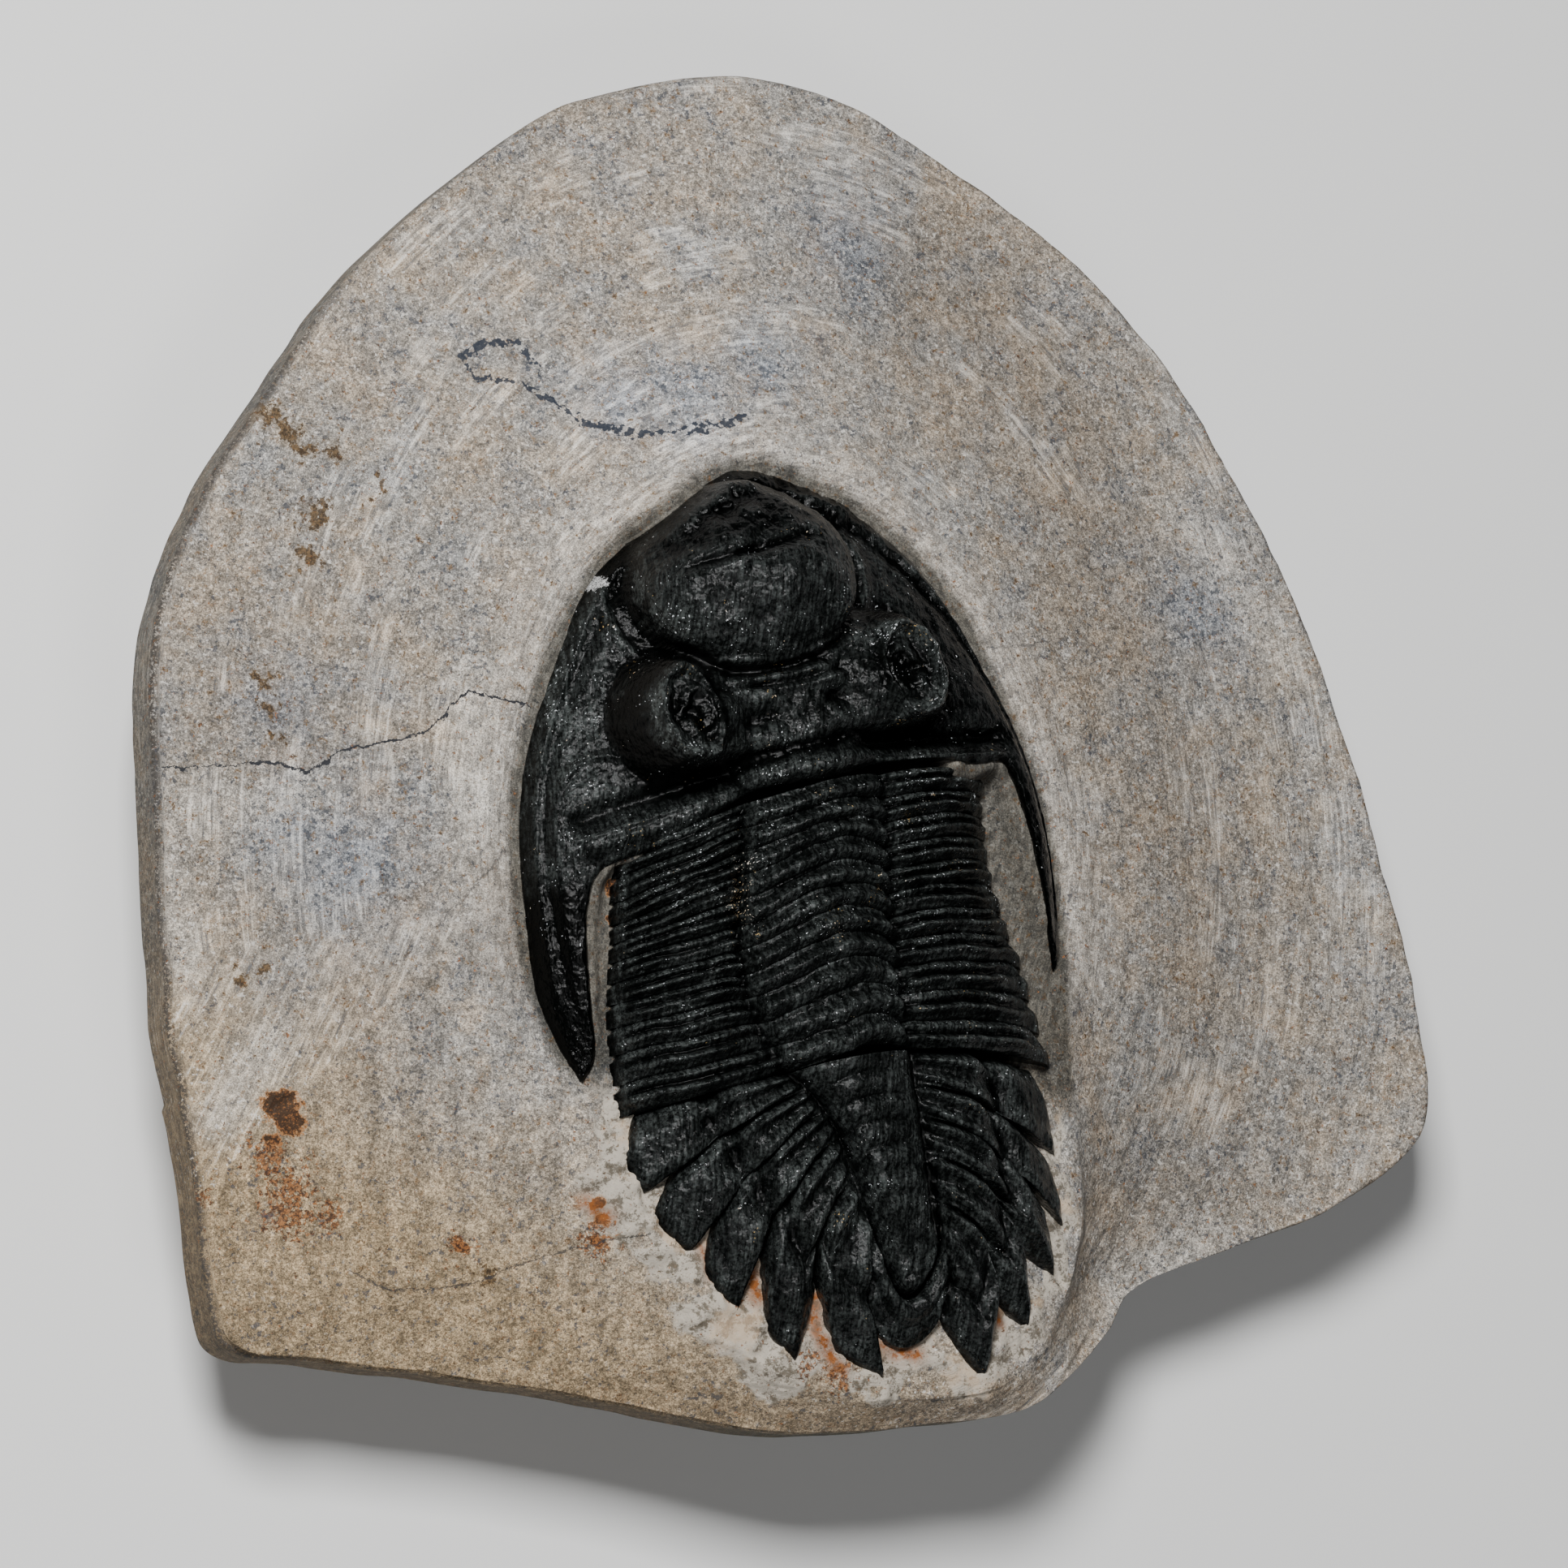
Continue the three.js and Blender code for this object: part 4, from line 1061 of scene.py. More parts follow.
def mark_line(pixels, strength=1.0):
    """A line of the picture laid on the stone: its signed distance, measured within two millimetres of
    the line's own box and set far off elsewhere, and a strength that fades to nought about a millimetre
    from the line."""
    line = on_surface(pixels, stone_top)
    low, high = line[:, :2].min(axis=0) - 2, line[:, :2].max(axis=0) + 2
    close = np.flatnonzero(((stone_top[:, :2] > low) & (stone_top[:, :2] < high)).all(axis=1))
    distance, near = np.full(len(flat_stone), FAR_OFF), np.zeros(len(flat_stone))
    distance[close] = signed_distance(line, stone_top[close])
    near[close] = strength * (1 - ease(np.abs(distance[close]), 0.7, 1.3))
    return distance, near


def merge_lines(lines):
    """Keeps, at every point, the line that is nearest."""
    distance, near = lines[0]
    for other, strength in lines[1:]:
        closer = np.abs(other) < np.abs(distance)
        distance = np.where(closer, other, distance)
        near = np.where(closer, strength, near)
    return distance, near


crack_distance, crack_near = merge_lines([
    mark_line(CRACK_LEFT),
    mark_line(CRACK_VEIN, 0.55),
    mark_line(CRACK_LOW, 0.7),
    mark_line(CRACK_SMALL, 0.5),
    mark_line(CRACK_RIGHT, 0.45),
])
dot_distance, dot_near = mark_line(DOTTED_LINE)
print("crack points:", int((crack_near > 0).sum()), "dotted points:", int((dot_near > 0).sum()))

# %% [markdown]
# Stains are soft patches, so each is a bell of the distance to its spot. Rust glows along the gaps
# between the tail spines, and broad stripes of painted light and painted shade follow the slopes, so
# those are bells of the distance to a line. All of them stay on the top, because the walls are fresh.

# %% Soft spots and stripes
def stain(pixels, radius, wobble=0.35):
    """Soft stains, each a bell around its spot, with an outline that wanders by a little grain."""
    spots, plan = on_surface(pixels, stone_top), flat_stone[:, :2]
    shift = wobble * np.stack([grain(plan[:, 0], plan[:, 1], 0.8, seed) for seed in (101, 111)], -1)
    gap = np.linalg.norm((plan + shift)[:, None] - spots[None, :, :2], axis=-1)
    return bell(gap, np.asarray(radius)).max(axis=1) * on_top.ravel()


def stripe(lines, width):
    """Soft stripes: a bell of the distance to each bent line, on the top alone."""
    strength = np.zeros(len(flat_stone))
    for pixels in lines:
        line = on_surface(pixels, stone_top)
        curve = smooth_line(line, np.linspace(0, 1, 4 * len(line)))
        strength = np.maximum(strength, bell(signed_distance(curve, flat_stone), width))
    return strength * on_top.ravel()


pit = stain([(352, 1365)], [0.6])
print("pit points:", int((pit > 0.5).sum()))

# %% Where the stains, painted light and painted shade show in the picture
RUST_SPOTS = [(348, 1362), (360, 1378), (336, 1408), (738, 1485), (741, 1505), (737, 1530), (752, 1095),
              (754, 1133), (568, 1538), (930, 1583)]
RUST_SIZES = [1.15, 0.95, 0.5, 0.45, 0.45, 0.35, 0.45, 0.35, 0.45, 0.3]
SPECKLED_SPOTS = [(355, 1460), (352, 1492), (405, 1500), (567, 1538), (738, 1530), (250, 1472), (330, 1430),
                  (905, 1600), (1040, 1690), (1000, 1680)]
SPECKLED_SIZES = [1.5, 1.5, 1.1, 0.9, 1.0, 0.6, 1.3, 0.5, 1.0, 0.8]
BROWN_SPOTS = [(335, 515), (358, 530), (385, 552), (412, 560), (386, 634), (376, 690), (328, 835), (333, 872),
               (337, 908), (290, 1203), (320, 1200), (465, 590), (600, 1575)]
BROWN_SIZES = [0.6, 0.75, 0.7, 0.6, 0.95, 0.7, 0.55, 0.7, 0.5, 0.45, 0.4, 0.4, 0.5]
INK_SPOTS = [(1015, 430), (1008, 415), (645, 448), (580, 440), (800, 525), (308, 1512), (330, 1500)]
INK_SIZES = [0.6, 0.5, 0.7, 0.5, 0.5, 0.35, 0.4]
BLUE_SPOTS = [(850, 490), (760, 490), (940, 450), (1040, 300), (1490, 740), (430, 1060), (370, 1000),
              (340, 870)]
BLUE_SIZES = [3.0, 2.4, 2.6, 3.0, 3.5, 4.0, 2.8, 2.4]
# Pale bands of painted light, where slopes and tool facets face the lamp.
LIGHT_LINES = [
    [(575, 830), (585, 930), (590, 1040)],
    [(330, 1290), (300, 1330), (270, 1380)],
    [(230, 1180), (200, 1010), (300, 990), (380, 980)],
    [(1380, 1590), (1430, 1555), (1490, 1520)],
    [(1440, 630), (1520, 720), (1580, 800)],
]
# Lines and spots of painted shade: slopes that face away from the lamp, the foot of the front wall and two
# soft patches on the left.
SHADE_LINES = [
    [(1120, 330), (1290, 520), (1380, 800), (1450, 1130), (1440, 1420)],
    [(1310, 1180), (1345, 1300), (1350, 1480)],
    [(600, 1060), (630, 1160), (660, 1220)],
    [(700, 1720), (900, 1745), (1100, 1750), (1250, 1735)],
]
SHADE_SPOTS = [(330, 900), (430, 1150)]
GLOW_LINES = [
    [(869, 1540), (877, 1572)],
    [(926, 1568), (934, 1602)],
    [(1002, 1598), (1007, 1640), (1036, 1690)],
    [(1078, 1640), (1096, 1664), (1134, 1670)],
    [(1210, 1596), (1232, 1628)],
    [(722, 1480), (748, 1500)],
]
print("rust spots:", len(RUST_SPOTS), " brown:", len(BROWN_SPOTS), " glowing lines:", len(GLOW_LINES))

# %% The stains, painted light and painted shade on the stone
rust = stain(RUST_SPOTS, RUST_SIZES, 0.2)
rust_glow = stripe(GLOW_LINES, 0.45)
speckled = stain(SPECKLED_SPOTS, SPECKLED_SIZES)
brown = stain(BROWN_SPOTS, BROWN_SIZES, 0.6)
ink_spots = stain(INK_SPOTS, INK_SIZES)
blue = stain(BLUE_SPOTS, BLUE_SIZES, 0.8)
# Painted light and painted shade: pale and dark stripes and patches on slopes that face towards or away from
# the lamp.
light = stripe(LIGHT_LINES, 1.5)
broad_shade = np.maximum(stripe(SHADE_LINES[:1], 7.5), 0.75 * stain(SHADE_SPOTS, [11, 9], 0.8))
shade = np.maximum(broad_shade, stripe(SHADE_LINES[1:], 1.3))
earth = (ease(-y - 0.35 * x, 24, 42) * (1 - ease(x, 4, 14)) + 0.35 * ease(-x - y, 40, 60)).ravel()
# Painted shade on the front wall below the rim, at the tail end.
undercut_shade = (ease(-y, 38.2, 39.8) * ease(-stone_points[..., 2], -16.2, -14.5) * ease(x, -12, 0)).ravel()
print("stained points:", int((np.maximum(rust, brown) > 0.5).sum()))

# %% [markdown]
# The pit under the largest rust spot and the cracks are cut into the stone for real, and then its rings
# become one mesh. Every zone and stain goes along as a number on each point, for the material to read.

# %% Mesh of the stone
flat_stone[:, 2] -= 0.5 * pit + 0.12 * bell(crack_distance, 0.12) * crack_near
flat_stone[:, 2] = np.maximum(flat_stone[:, 2], 0)


def ring_piece(name, rows):
    """Closed rings, with one face over the hidden middle and one flat resting face."""
    numbers = np.arange(rows.shape[0] * rows.shape[1]).reshape(rows.shape[:2])
    cells = grid_cells(numbers, wrap=True)
    faces = cells.tolist() + [numbers[0, ::-1].tolist(), numbers[-1].tolist()]
    sample = rows[stone_bed_rows:, :2]
    around, outward = sample[0, 1] - sample[0, 0], sample[1, 0] - sample[0, 0]
    upside_down = np.cross(around, outward)[2] < 0
    return put_in_mesh(name, rows.reshape(-1, 3), faces, len(cells), upside_down)


stone = ring_piece("limestone_block", stone_points)
report(stone)

# %% Notes on the stone
notes = [
    ("crack", crack_distance),
    ("crack_near", crack_near),
    ("dots", dot_distance),
    ("dots_near", dot_near),
    ("rust", rust),
    ("rust_glow", rust_glow),
    ("speckled", speckled),
    ("brown", brown),
    ("ink", ink_spots),
    ("blue", blue),
    ("light", light),
    ("shade", shade),
    ("earth", earth),
    ("undercut_shade", undercut_shade),
    ("chalk", chalk.ravel()),
    ("recess_shade", recess_shade.ravel()),
    ("near", near_fossil.ravel()),
    ("slanted", lower_left.ravel()),
    ("level", bottom_left.ravel()),
    ("wall", (1 - on_top).ravel()),
    ("arris", arris.ravel()),
    ("ring_strokes", np.stack([ring_radius, ring_along, 0 * x], axis=-1).reshape(-1, 3)),
    ("slant_strokes", np.stack([slant_across, slant_along, 0 * x], axis=-1).reshape(-1, 3)),
]
for name, values in notes:
    store(stone, name, values)
print("notes on the stone:", len(notes))

# %% [markdown]
# ## Materials
# Both finishes are built from nodes alone. A short helper makes each node and joins it up, so a recipe
# reads from top to bottom. Patterns read the place in millimetres, which keeps their numbers handy.

# %% A new material
def feed(tree, socket, value):
    """Joins a socket to another node's output, or sets it to a plain value."""
    if isinstance(value, bpy.types.NodeSocket):
        tree.links.new(value, socket)
    else:
        socket.default_value = value


def new_material(name):
    """An empty node material with its shader, and the place on the object in millimetres."""
    material = bpy.data.materials.new(name)
    material.use_nodes = True
    tree = material.node_tree
    shader = next(node for node in tree.nodes if node.type == "BSDF_PRINCIPLED")
    place = tree.nodes.new("ShaderNodeTexCoord").outputs["Object"]
    scale = tree.nodes.new("ShaderNodeMapping")
    scale.inputs["Scale"].default_value = (1 / MM,) * 3
    tree.links.new(place, scale.inputs["Vector"])
    return material, tree, shader, scale.outputs["Vector"]


limestone, tree, shader, place = new_material("limestone")
print("new material:", limestone.name)


# %% Patterns of the rock
def noise(tree, vector, scale, detail=3, rough=0.55):
    """Soft random clouds, about one over the scale across."""
    node = tree.nodes.new("ShaderNodeTexNoise")
    feed(tree, node.inputs["Vector"], vector)
    node.inputs["Scale"].default_value = scale
    node.inputs["Detail"].default_value = detail
    node.inputs["Roughness"].default_value = rough
    return node.outputs["Fac"]


clouds = noise(tree, place, 0.09, 4, 0.6)
patches = noise(tree, place, 0.28, 5, 0.65)
grit = noise(tree, place, 5.0, 5, 0.8)
dust = noise(tree, place, 12.0, 3, 0.75)
print("patterns from 11 mm clouds down to 0.1 mm dust, nodes:", len(tree.nodes))


# %% Sums made by nodes
def calc(tree, operation, a, b=0.5):
    """One sum on one or two numbers."""
    node = tree.nodes.new("ShaderNodeMath")
    node.operation = operation
    for socket, value in zip(node.inputs, (a, b)):
        feed(tree, socket, value)
    return node.outputs[0]


def times(tree, a, b):
    """The product of two numbers."""
    return calc(tree, "MULTIPLY", a, b)


def plus(tree, a, b):
    """The sum of two numbers."""
    return calc(tree, "ADD", a, b)


def minus(tree, a, b):
    """The first number less the second."""
    return calc(tree, "SUBTRACT", a, b)


def larger(tree, a, b):
    """The larger of two numbers."""
    return calc(tree, "MAXIMUM", a, b)


# %% Blends and ranges
def mix_number(tree, factor, a, b):
    """A straight blend of two numbers."""
    return plus(tree, times(tree, minus(tree, b, a), factor), a)


def band(tree, value, low, high, to_low=0.0, to_high=1.0):
    """Carries a value from one range into another with a smooth start and end."""
    node = tree.nodes.new("ShaderNodeMapRange")
    node.interpolation_type = "SMOOTHSTEP"
    feed(tree, node.inputs["Value"], value)
    node.inputs["From Min"].default_value = low
    node.inputs["From Max"].default_value = high
    node.inputs["To Min"].default_value = to_low
    node.inputs["To Max"].default_value = to_high
    return node.outputs["Result"]


# %% Colours and stored numbers
def blend(tree, factor, a, b, kind="MIX"):
    """Mixes two colours by a factor."""
    node = tree.nodes.new("ShaderNodeMix")
    node.data_type = "RGBA"
    node.blend_type = kind
    feed(tree, node.inputs["Factor"], factor)
    colours = [socket for socket in node.inputs if socket.type == "RGBA"]
    for socket, value in zip(colours, (a, b)):
        feed(tree, socket, (*value, 1) if isinstance(value, tuple) else value)
    return next(socket for socket in node.outputs if socket.type == "RGBA")


def kept(tree, name, vector=False):
    """Reads a number or a vector that was stored on the mesh."""
    node = tree.nodes.new("ShaderNodeAttribute")
    node.attribute_name = name
    return node.outputs["Vector" if vector else "Fac"]


# %% [markdown]
# ### Limestone
# Seen close, the stone is pale grey with warm and bluish clouds, peppered with fine specks. Where the
# tool passed, it left lens-shaped paler facets full of fine parallel lines. Rust gathers in pits. The
# layers go on in the order in which they came to be: rock, specks, strokes, chalk, stains, cracks.

# %% The rock itself
WARM_ROCK, GREY_ROCK = (0.37, 0.325, 0.27), (0.345, 0.325, 0.295)
TAN_PATCH, SLATE_PATCH = (0.43, 0.345, 0.255), (0.29, 0.295, 0.30)
# The light tint is painted light, and the darkest tint, on the front wall at the tail end, is painted shade;
# the other tints are the rock's own.
TINTS = [
    ("near", 0.7, (0.41, 0.375, 0.33)),
    ("blue", 0.7, (0.30, 0.335, 0.385)),
    ("earth", 0.8, (0.37, 0.275, 0.165)),
    ("undercut_shade", 0.8, (0.07, 0.075, 0.03)),
    ("light", 0.6, (0.56, 0.52, 0.46)),
]

colour = blend(tree, band(tree, clouds, 0.38, 0.62), WARM_ROCK, GREY_ROCK)
colour = blend(tree, band(tree, patches, 0.50, 0.64, 0, 0.6), colour, TAN_PATCH)
colour = blend(tree, band(tree, patches, 0.50, 0.36, 0, 0.5), colour, SLATE_PATCH)
for name, share, tint in TINTS:
    colour = blend(tree, times(tree, kept(tree, name), share), colour, tint)
print("tinted zones:", len(TINTS), " nodes:", len(tree.nodes))


# %% Directions of the tool
def stretch(tree, vector, scale):
    """Squeezes or stretches a pattern along its axes."""
    node = tree.nodes.new("ShaderNodeMapping")
    feed(tree, node.inputs["Vector"], vector)
    node.inputs["Scale"].default_value = scale
    return node.outputs["Vector"]


def stroke_field(name, along, across, detail=4):
    """Long thin noise in the coordinates of one stroke family."""
    return noise(tree, stretch(tree, kept(tree, name, True), (across, along, 1)), 1.0, detail, 0.65)


def chosen(ring, slanted, level, wall):
    """Takes each family's field where that family was worked."""
    field = blend(tree, kept(tree, "slanted"), ring, slanted)
    return blend(tree, kept(tree, "wall"), blend(tree, kept(tree, "level"), field, level), wall)


wall_place = stretch(tree, place, (0.4, 0.4, 5))
hairlines = chosen(
    stroke_field("ring_strokes", 0.45, 4.5),
    stroke_field("slant_strokes", 0.30, 3.4),
    noise(tree, stretch(tree, place, (2.2, 0.5, 1)), 1.0, 4, 0.65),
    noise(tree, wall_place, 1.0, 4, 0.65),
)
facets = chosen(
    stroke_field("ring_strokes", 0.09, 0.55, 3),
    stroke_field("slant_strokes", 0.05, 0.50, 3),
    noise(tree, stretch(tree, place, (0.4, 0.1, 1)), 0.8, 3, 0.6),
    noise(tree, wall_place, 0.3, 2, 0.6),
)
print("nodes with the stroke fields:", len(tree.nodes))

# %% Where the tool passed
worked = band(tree, noise(tree, place, 0.13, 2), 0.49, 0.57)
worked = times(tree, worked, minus(tree, 1.0, kept(tree, "level")))
worked = larger(tree, worked, kept(tree, "slanted"))
tooled = times(tree, band(tree, facets, 0.47, 0.55), worked)
tooled = larger(tree, tooled, times(tree, kept(tree, "near"), 0.55))
tooled = larger(tree, tooled, times(tree, kept(tree, "slanted"), 0.5))
print("nodes with the tooled ground:", len(tree.nodes))


# %% Light and dark grain
def grey(tree, value):
    """A number as a grey of that strength, to multiply a colour with."""
    node = tree.nodes.new("ShaderNodeCombineColor")
    for socket in node.inputs:
        feed(tree, socket, value)
    return node.outputs[0]


coarse = noise(tree, place, 1.5, 3, 0.6)
grit_tone = band(tree, grit, 0.38, 0.64, 0.50, 1.46)
dust_tone = band(tree, dust, 0.36, 0.64, 0.58, 1.42)
line_tone = band(tree, hairlines, 0.36, 0.64, 0.58, 1.42)
tones = times(tree, mix_number(tree, tooled, grit_tone, line_tone), dust_tone)
tones = times(tree, tones, band(tree, tooled, 0, 1, 0.95, 1.16))
soft_bands = noise(tree, stretch(tree, place, (0.9, 0.13, 1)), 1.0, 3, 0.6)
soft_bands = band(tree, soft_bands, 0.36, 0.62, 0.80, 1.16)
tones = times(tree, tones, mix_number(tree, kept(tree, "level"), 1.0, soft_bands))
tones = times(tree, tones, band(tree, coarse, 0.36, 0.64, 0.74, 1.26))
colour = blend(tree, 1.0, colour, grey(tree, tones), "MULTIPLY")
print("nodes with the grain:", len(tree.nodes))

# %% Specks, flecks and hairlines
SPECK, FLECK, AMBER_GRAIN = (0.05, 0.058, 0.075), (0.88, 0.84, 0.78), (0.40, 0.25, 0.13)
PALE_LINE, DARK_LINE = (0.85, 0.81, 0.75), (0.13, 0.14, 0.16)

crowded = band(tree, patches, 0.36, 0.54, 0.56, 0.62)
crowded = minus(tree, crowded, times(tree, kept(tree, "blue"), 0.05))
speck_limit = plus(tree, crowded, times(tree, tooled, 0.04))
specks = band(tree, minus(tree, noise(tree, place, 2.6, 3, 0.65), speck_limit), 0, 0.03)
colour = blend(tree, times(tree, specks, 0.7), colour, SPECK)
flecks = band(tree, noise(tree, place, 3.4, 2, 0.6), 0.62, 0.67)
flecks = times(tree, flecks, mix_number(tree, kept(tree, "level"), 0.6, 0.15))
colour = blend(tree, flecks, colour, FLECK)
warm = band(tree, noise(tree, place, 2.2, 4, 0.75), 0.57, 0.64)
colour = blend(tree, times(tree, warm, 0.5), colour, AMBER_GRAIN)
pale_lines = times(tree, band(tree, hairlines, 0.57, 0.68), tooled)
colour = blend(tree, times(tree, pale_lines, 0.6), colour, PALE_LINE)
dark_lines = times(tree, band(tree, hairlines, 0.42, 0.32), tooled)
colour = blend(tree, times(tree, dark_lines, 0.6), colour, DARK_LINE)
print("nodes with specks and lines:", len(tree.nodes))

# %% Rim pits, and painted shade on slopes, walls and recesses
RIM_PIT = (0.06, 0.053, 0.047)
# Painted shade: the shade stripes, the upright walls and the recesses beside the fossil are multiplied
# darker.
PAINTED_SHADE = [
    ("shade", (0.74, 0.73, 0.72)),
    ("wall", (0.35, 0.34, 0.315)),
    ("recess_shade", (0.25, 0.255, 0.245)),
]

rim_pits = plus(tree, grit, times(tree, kept(tree, "arris"), 0.14))
rim_dark = times(tree, band(tree, rim_pits, 0.57, 0.63), kept(tree, "arris"))
colour = blend(tree, rim_dark, colour, RIM_PIT)
for name, shade_factor in PAINTED_SHADE:
    colour = blend(tree, kept(tree, name), colour, shade_factor, "MULTIPLY")
print("dimmed zones:", len(PAINTED_SHADE), " nodes:", len(tree.nodes))

# %% Chalk
DULL_CHALK, PALE_CHALK = (0.15, 0.13, 0.10), (0.50, 0.45, 0.375)
CHALK_HOLE, WARM_CHALK = (0.10, 0.08, 0.055), (0.58, 0.41, 0.26)

ragged_grit = noise(tree, place, 2.2, 5, 0.75)
chalk_edge = plus(tree, kept(tree, "chalk"), times(tree, ragged_grit, 0.9))
chalk_mask = band(tree, chalk_edge, 0.70, 1.05)
clumps = noise(tree, place, 1.1, 5, 0.8)
chalk_tone = blend(tree, band(tree, clumps, 0.42, 0.51), DULL_CHALK, PALE_CHALK)
chalk_tone = blend(tree, band(tree, clumps, 0.40, 0.34), chalk_tone, CHALK_HOLE)
chalk_tone = blend(tree, band(tree, patches, 0.52, 0.62, 0, 0.5), chalk_tone, WARM_CHALK)
colour = blend(tree, times(tree, chalk_mask, 0.93), colour, chalk_tone)
print("nodes with the chalk:", len(tree.nodes))

# %% Brown and rust
BROWN_VEIL, DARK_BROWN, LIGHT_BROWN = (0.27, 0.18, 0.085), (0.035, 0.021, 0.01), (0.15, 0.09, 0.038)
DARK_RUST, RED_RUST, RUST_RIM = (0.035, 0.015, 0.006), (0.26, 0.095, 0.025), (0.42, 0.19, 0.065)
RUST_GLOW = (0.24, 0.075, 0.014)
DARK_SPOT, ORANGE_SPOT = (0.05, 0.022, 0.012), (0.33, 0.13, 0.04)

colour = blend(tree, times(tree, kept(tree, "brown"), 0.45), colour, BROWN_VEIL)
brown_edge = plus(tree, times(tree, kept(tree, "brown"), 0.28), ragged_grit)
brown_tone = blend(tree, band(tree, grit, 0.46, 0.56), DARK_BROWN, LIGHT_BROWN)
colour = blend(tree, band(tree, brown_edge, 0.60, 0.67, 0, 0.9), colour, brown_tone)
rust_edge = plus(tree, kept(tree, "rust"), times(tree, ragged_grit, 1.3))
rust_tone = blend(tree, band(tree, grit, 0.52, 0.62), DARK_RUST, RED_RUST)
rust_tone = blend(tree, band(tree, rust_edge, 1.1, 1.22), RUST_RIM, rust_tone)
colour = blend(tree, band(tree, rust_edge, 1.0, 1.16, 0, 0.95), colour, rust_tone)
glow_edge = times(tree, kept(tree, "rust_glow"), band(tree, ragged_grit, 0.35, 0.6, 0.3, 1.2))
colour = blend(tree, times(tree, glow_edge, 0.95), colour, RUST_GLOW)
spotty = noise(tree, place, 2.8, 4, 0.75)
spotty = plus(tree, spotty, times(tree, kept(tree, "speckled"), 0.21))
spotty_tone = blend(tree, band(tree, grit, 0.44, 0.58), DARK_SPOT, ORANGE_SPOT)
colour = blend(tree, band(tree, spotty, 0.625, 0.665, 0, 0.9), colour, spotty_tone)
print("nodes with the stains:", len(tree.nodes))

# %% Cracks and the dotted line
CRACK, DOT, INK = (0.03, 0.031, 0.036), (0.02, 0.027, 0.042), (0.05, 0.06, 0.08)

ragged = times(tree, minus(tree, noise(tree, place, 1.6, 4, 0.7), 0.5), 0.9)
crack_offset = calc(tree, "ABSOLUTE", plus(tree, kept(tree, "crack"), ragged))
crack_width = band(tree, noise(tree, place, 0.8, 2), 0.36, 0.62, 0.03, 0.085)
in_crack = calc(tree, "LESS_THAN", crack_offset, crack_width)
colour = blend(tree, times(tree, in_crack, kept(tree, "crack_near")), colour, CRACK)
dot_on = band(tree, noise(tree, place, 2.6, 2), 0.42, 0.48)
dot_width = band(tree, noise(tree, place, 0.9, 2), 0.38, 0.62, 0.09, 0.34)
dot_offset = calc(tree, "ABSOLUTE", plus(tree, kept(tree, "dots"), ragged))
in_dots = calc(tree, "LESS_THAN", dot_offset, dot_width)
dot_mask = times(tree, times(tree, in_dots, kept(tree, "dots_near")), dot_on)
colour = blend(tree, times(tree, dot_mask, 0.93), colour, DOT)
ink_mask = times(tree, kept(tree, "ink"), band(tree, ragged_grit, 0.44, 0.56))
colour = blend(tree, times(tree, ink_mask, 0.85), colour, INK)
feed(tree, shader.inputs["Base Color"], colour)
print("nodes with cracks and dots:", len(tree.nodes))


# %% Gloss and roughness of the rock
def bump(tree, height, strength, depth, under=None):
    """Tilts the shading by a height, whose full depth is given in millimetres."""
    node = tree.nodes.new("ShaderNodeBump")
    feed(tree, node.inputs["Height"], height)
    node.inputs["Strength"].default_value = strength
    node.inputs["Distance"].default_value = depth * MM
    if under is not None:
        feed(tree, node.inputs["Normal"], under)
    return node.outputs["Normal"]


feed(tree, shader.inputs["Roughness"], band(tree, dust, 0.3, 0.7, 0.70, 0.95))
shader.inputs["Specular IOR Level"].default_value = 0.3
relief = bump(tree, hairlines, 0.8, 0.12)
relief = bump(tree, grit, 0.8, 0.12, relief)
relief = bump(tree, dust, 0.5, 0.04, relief)
feed(tree, shader.inputs["Normal"], relief)
print("limestone nodes:", len(tree.nodes))

# %% [markdown]
# ### Black calcite
# The animal's shell has turned to almost black calcite with a satin shine. The preparation needle left
# crests a little paler and duller than the furrows. Painted light pales the crests, the left cheek, the
# eye rims and the tail's rib roots further, and painted shade keeps hollows and steep walls dark. Painted
# glints stand for flashing crystal faces as small pale dots, some golden, most of all where golden
# crystals lie.

# %% Wear, painted light and painted shade on the shell
# The pale shell colour is wear and painted light together; where the stored note is low the shell stays
# black, as painted shade in hollows and on steep walls.
FRESH_SHELL, WORN_AND_LIT_SHELL = (0.0005, 0.0007, 0.0006), (0.046, 0.052, 0.050)

calcite, tree, shader, place = new_material("black_calcite")
wear_and_light = kept(tree, "wear_and_light")
broad = noise(tree, place, 0.5, 3)
grit = noise(tree, place, 4.2, 5, 0.75)
fine = noise(tree, place, 12.0, 2, 0.6)
needle = noise(tree, stretch(tree, place, (6, 0.6, 1)), 1.0, 4, 0.65)
worn_and_lit = times(tree, wear_and_light, band(tree, grit, 0.36, 0.66, 0.1, 1.3))
worn_and_lit = times(tree, worn_and_lit, band(tree, needle, 0.40, 0.62, 0.35, 1.7))
worn_and_lit = times(tree, worn_and_lit, band(tree, broad, 0.35, 0.6, 0.45, 1.1))
colour = blend(tree, worn_and_lit, FRESH_SHELL, WORN_AND_LIT_SHELL)
print("calcite nodes for the wear:", len(tree.nodes))

# %% Painted glints
# Painted glints: small pale dots stand in for light flashing off crystal faces, golden in places and where
# the golden crystals lie.
PAINTED_GLINT, GOLDEN_GLINT = (0.62, 0.65, 0.67), (0.52, 0.34, 0.125)

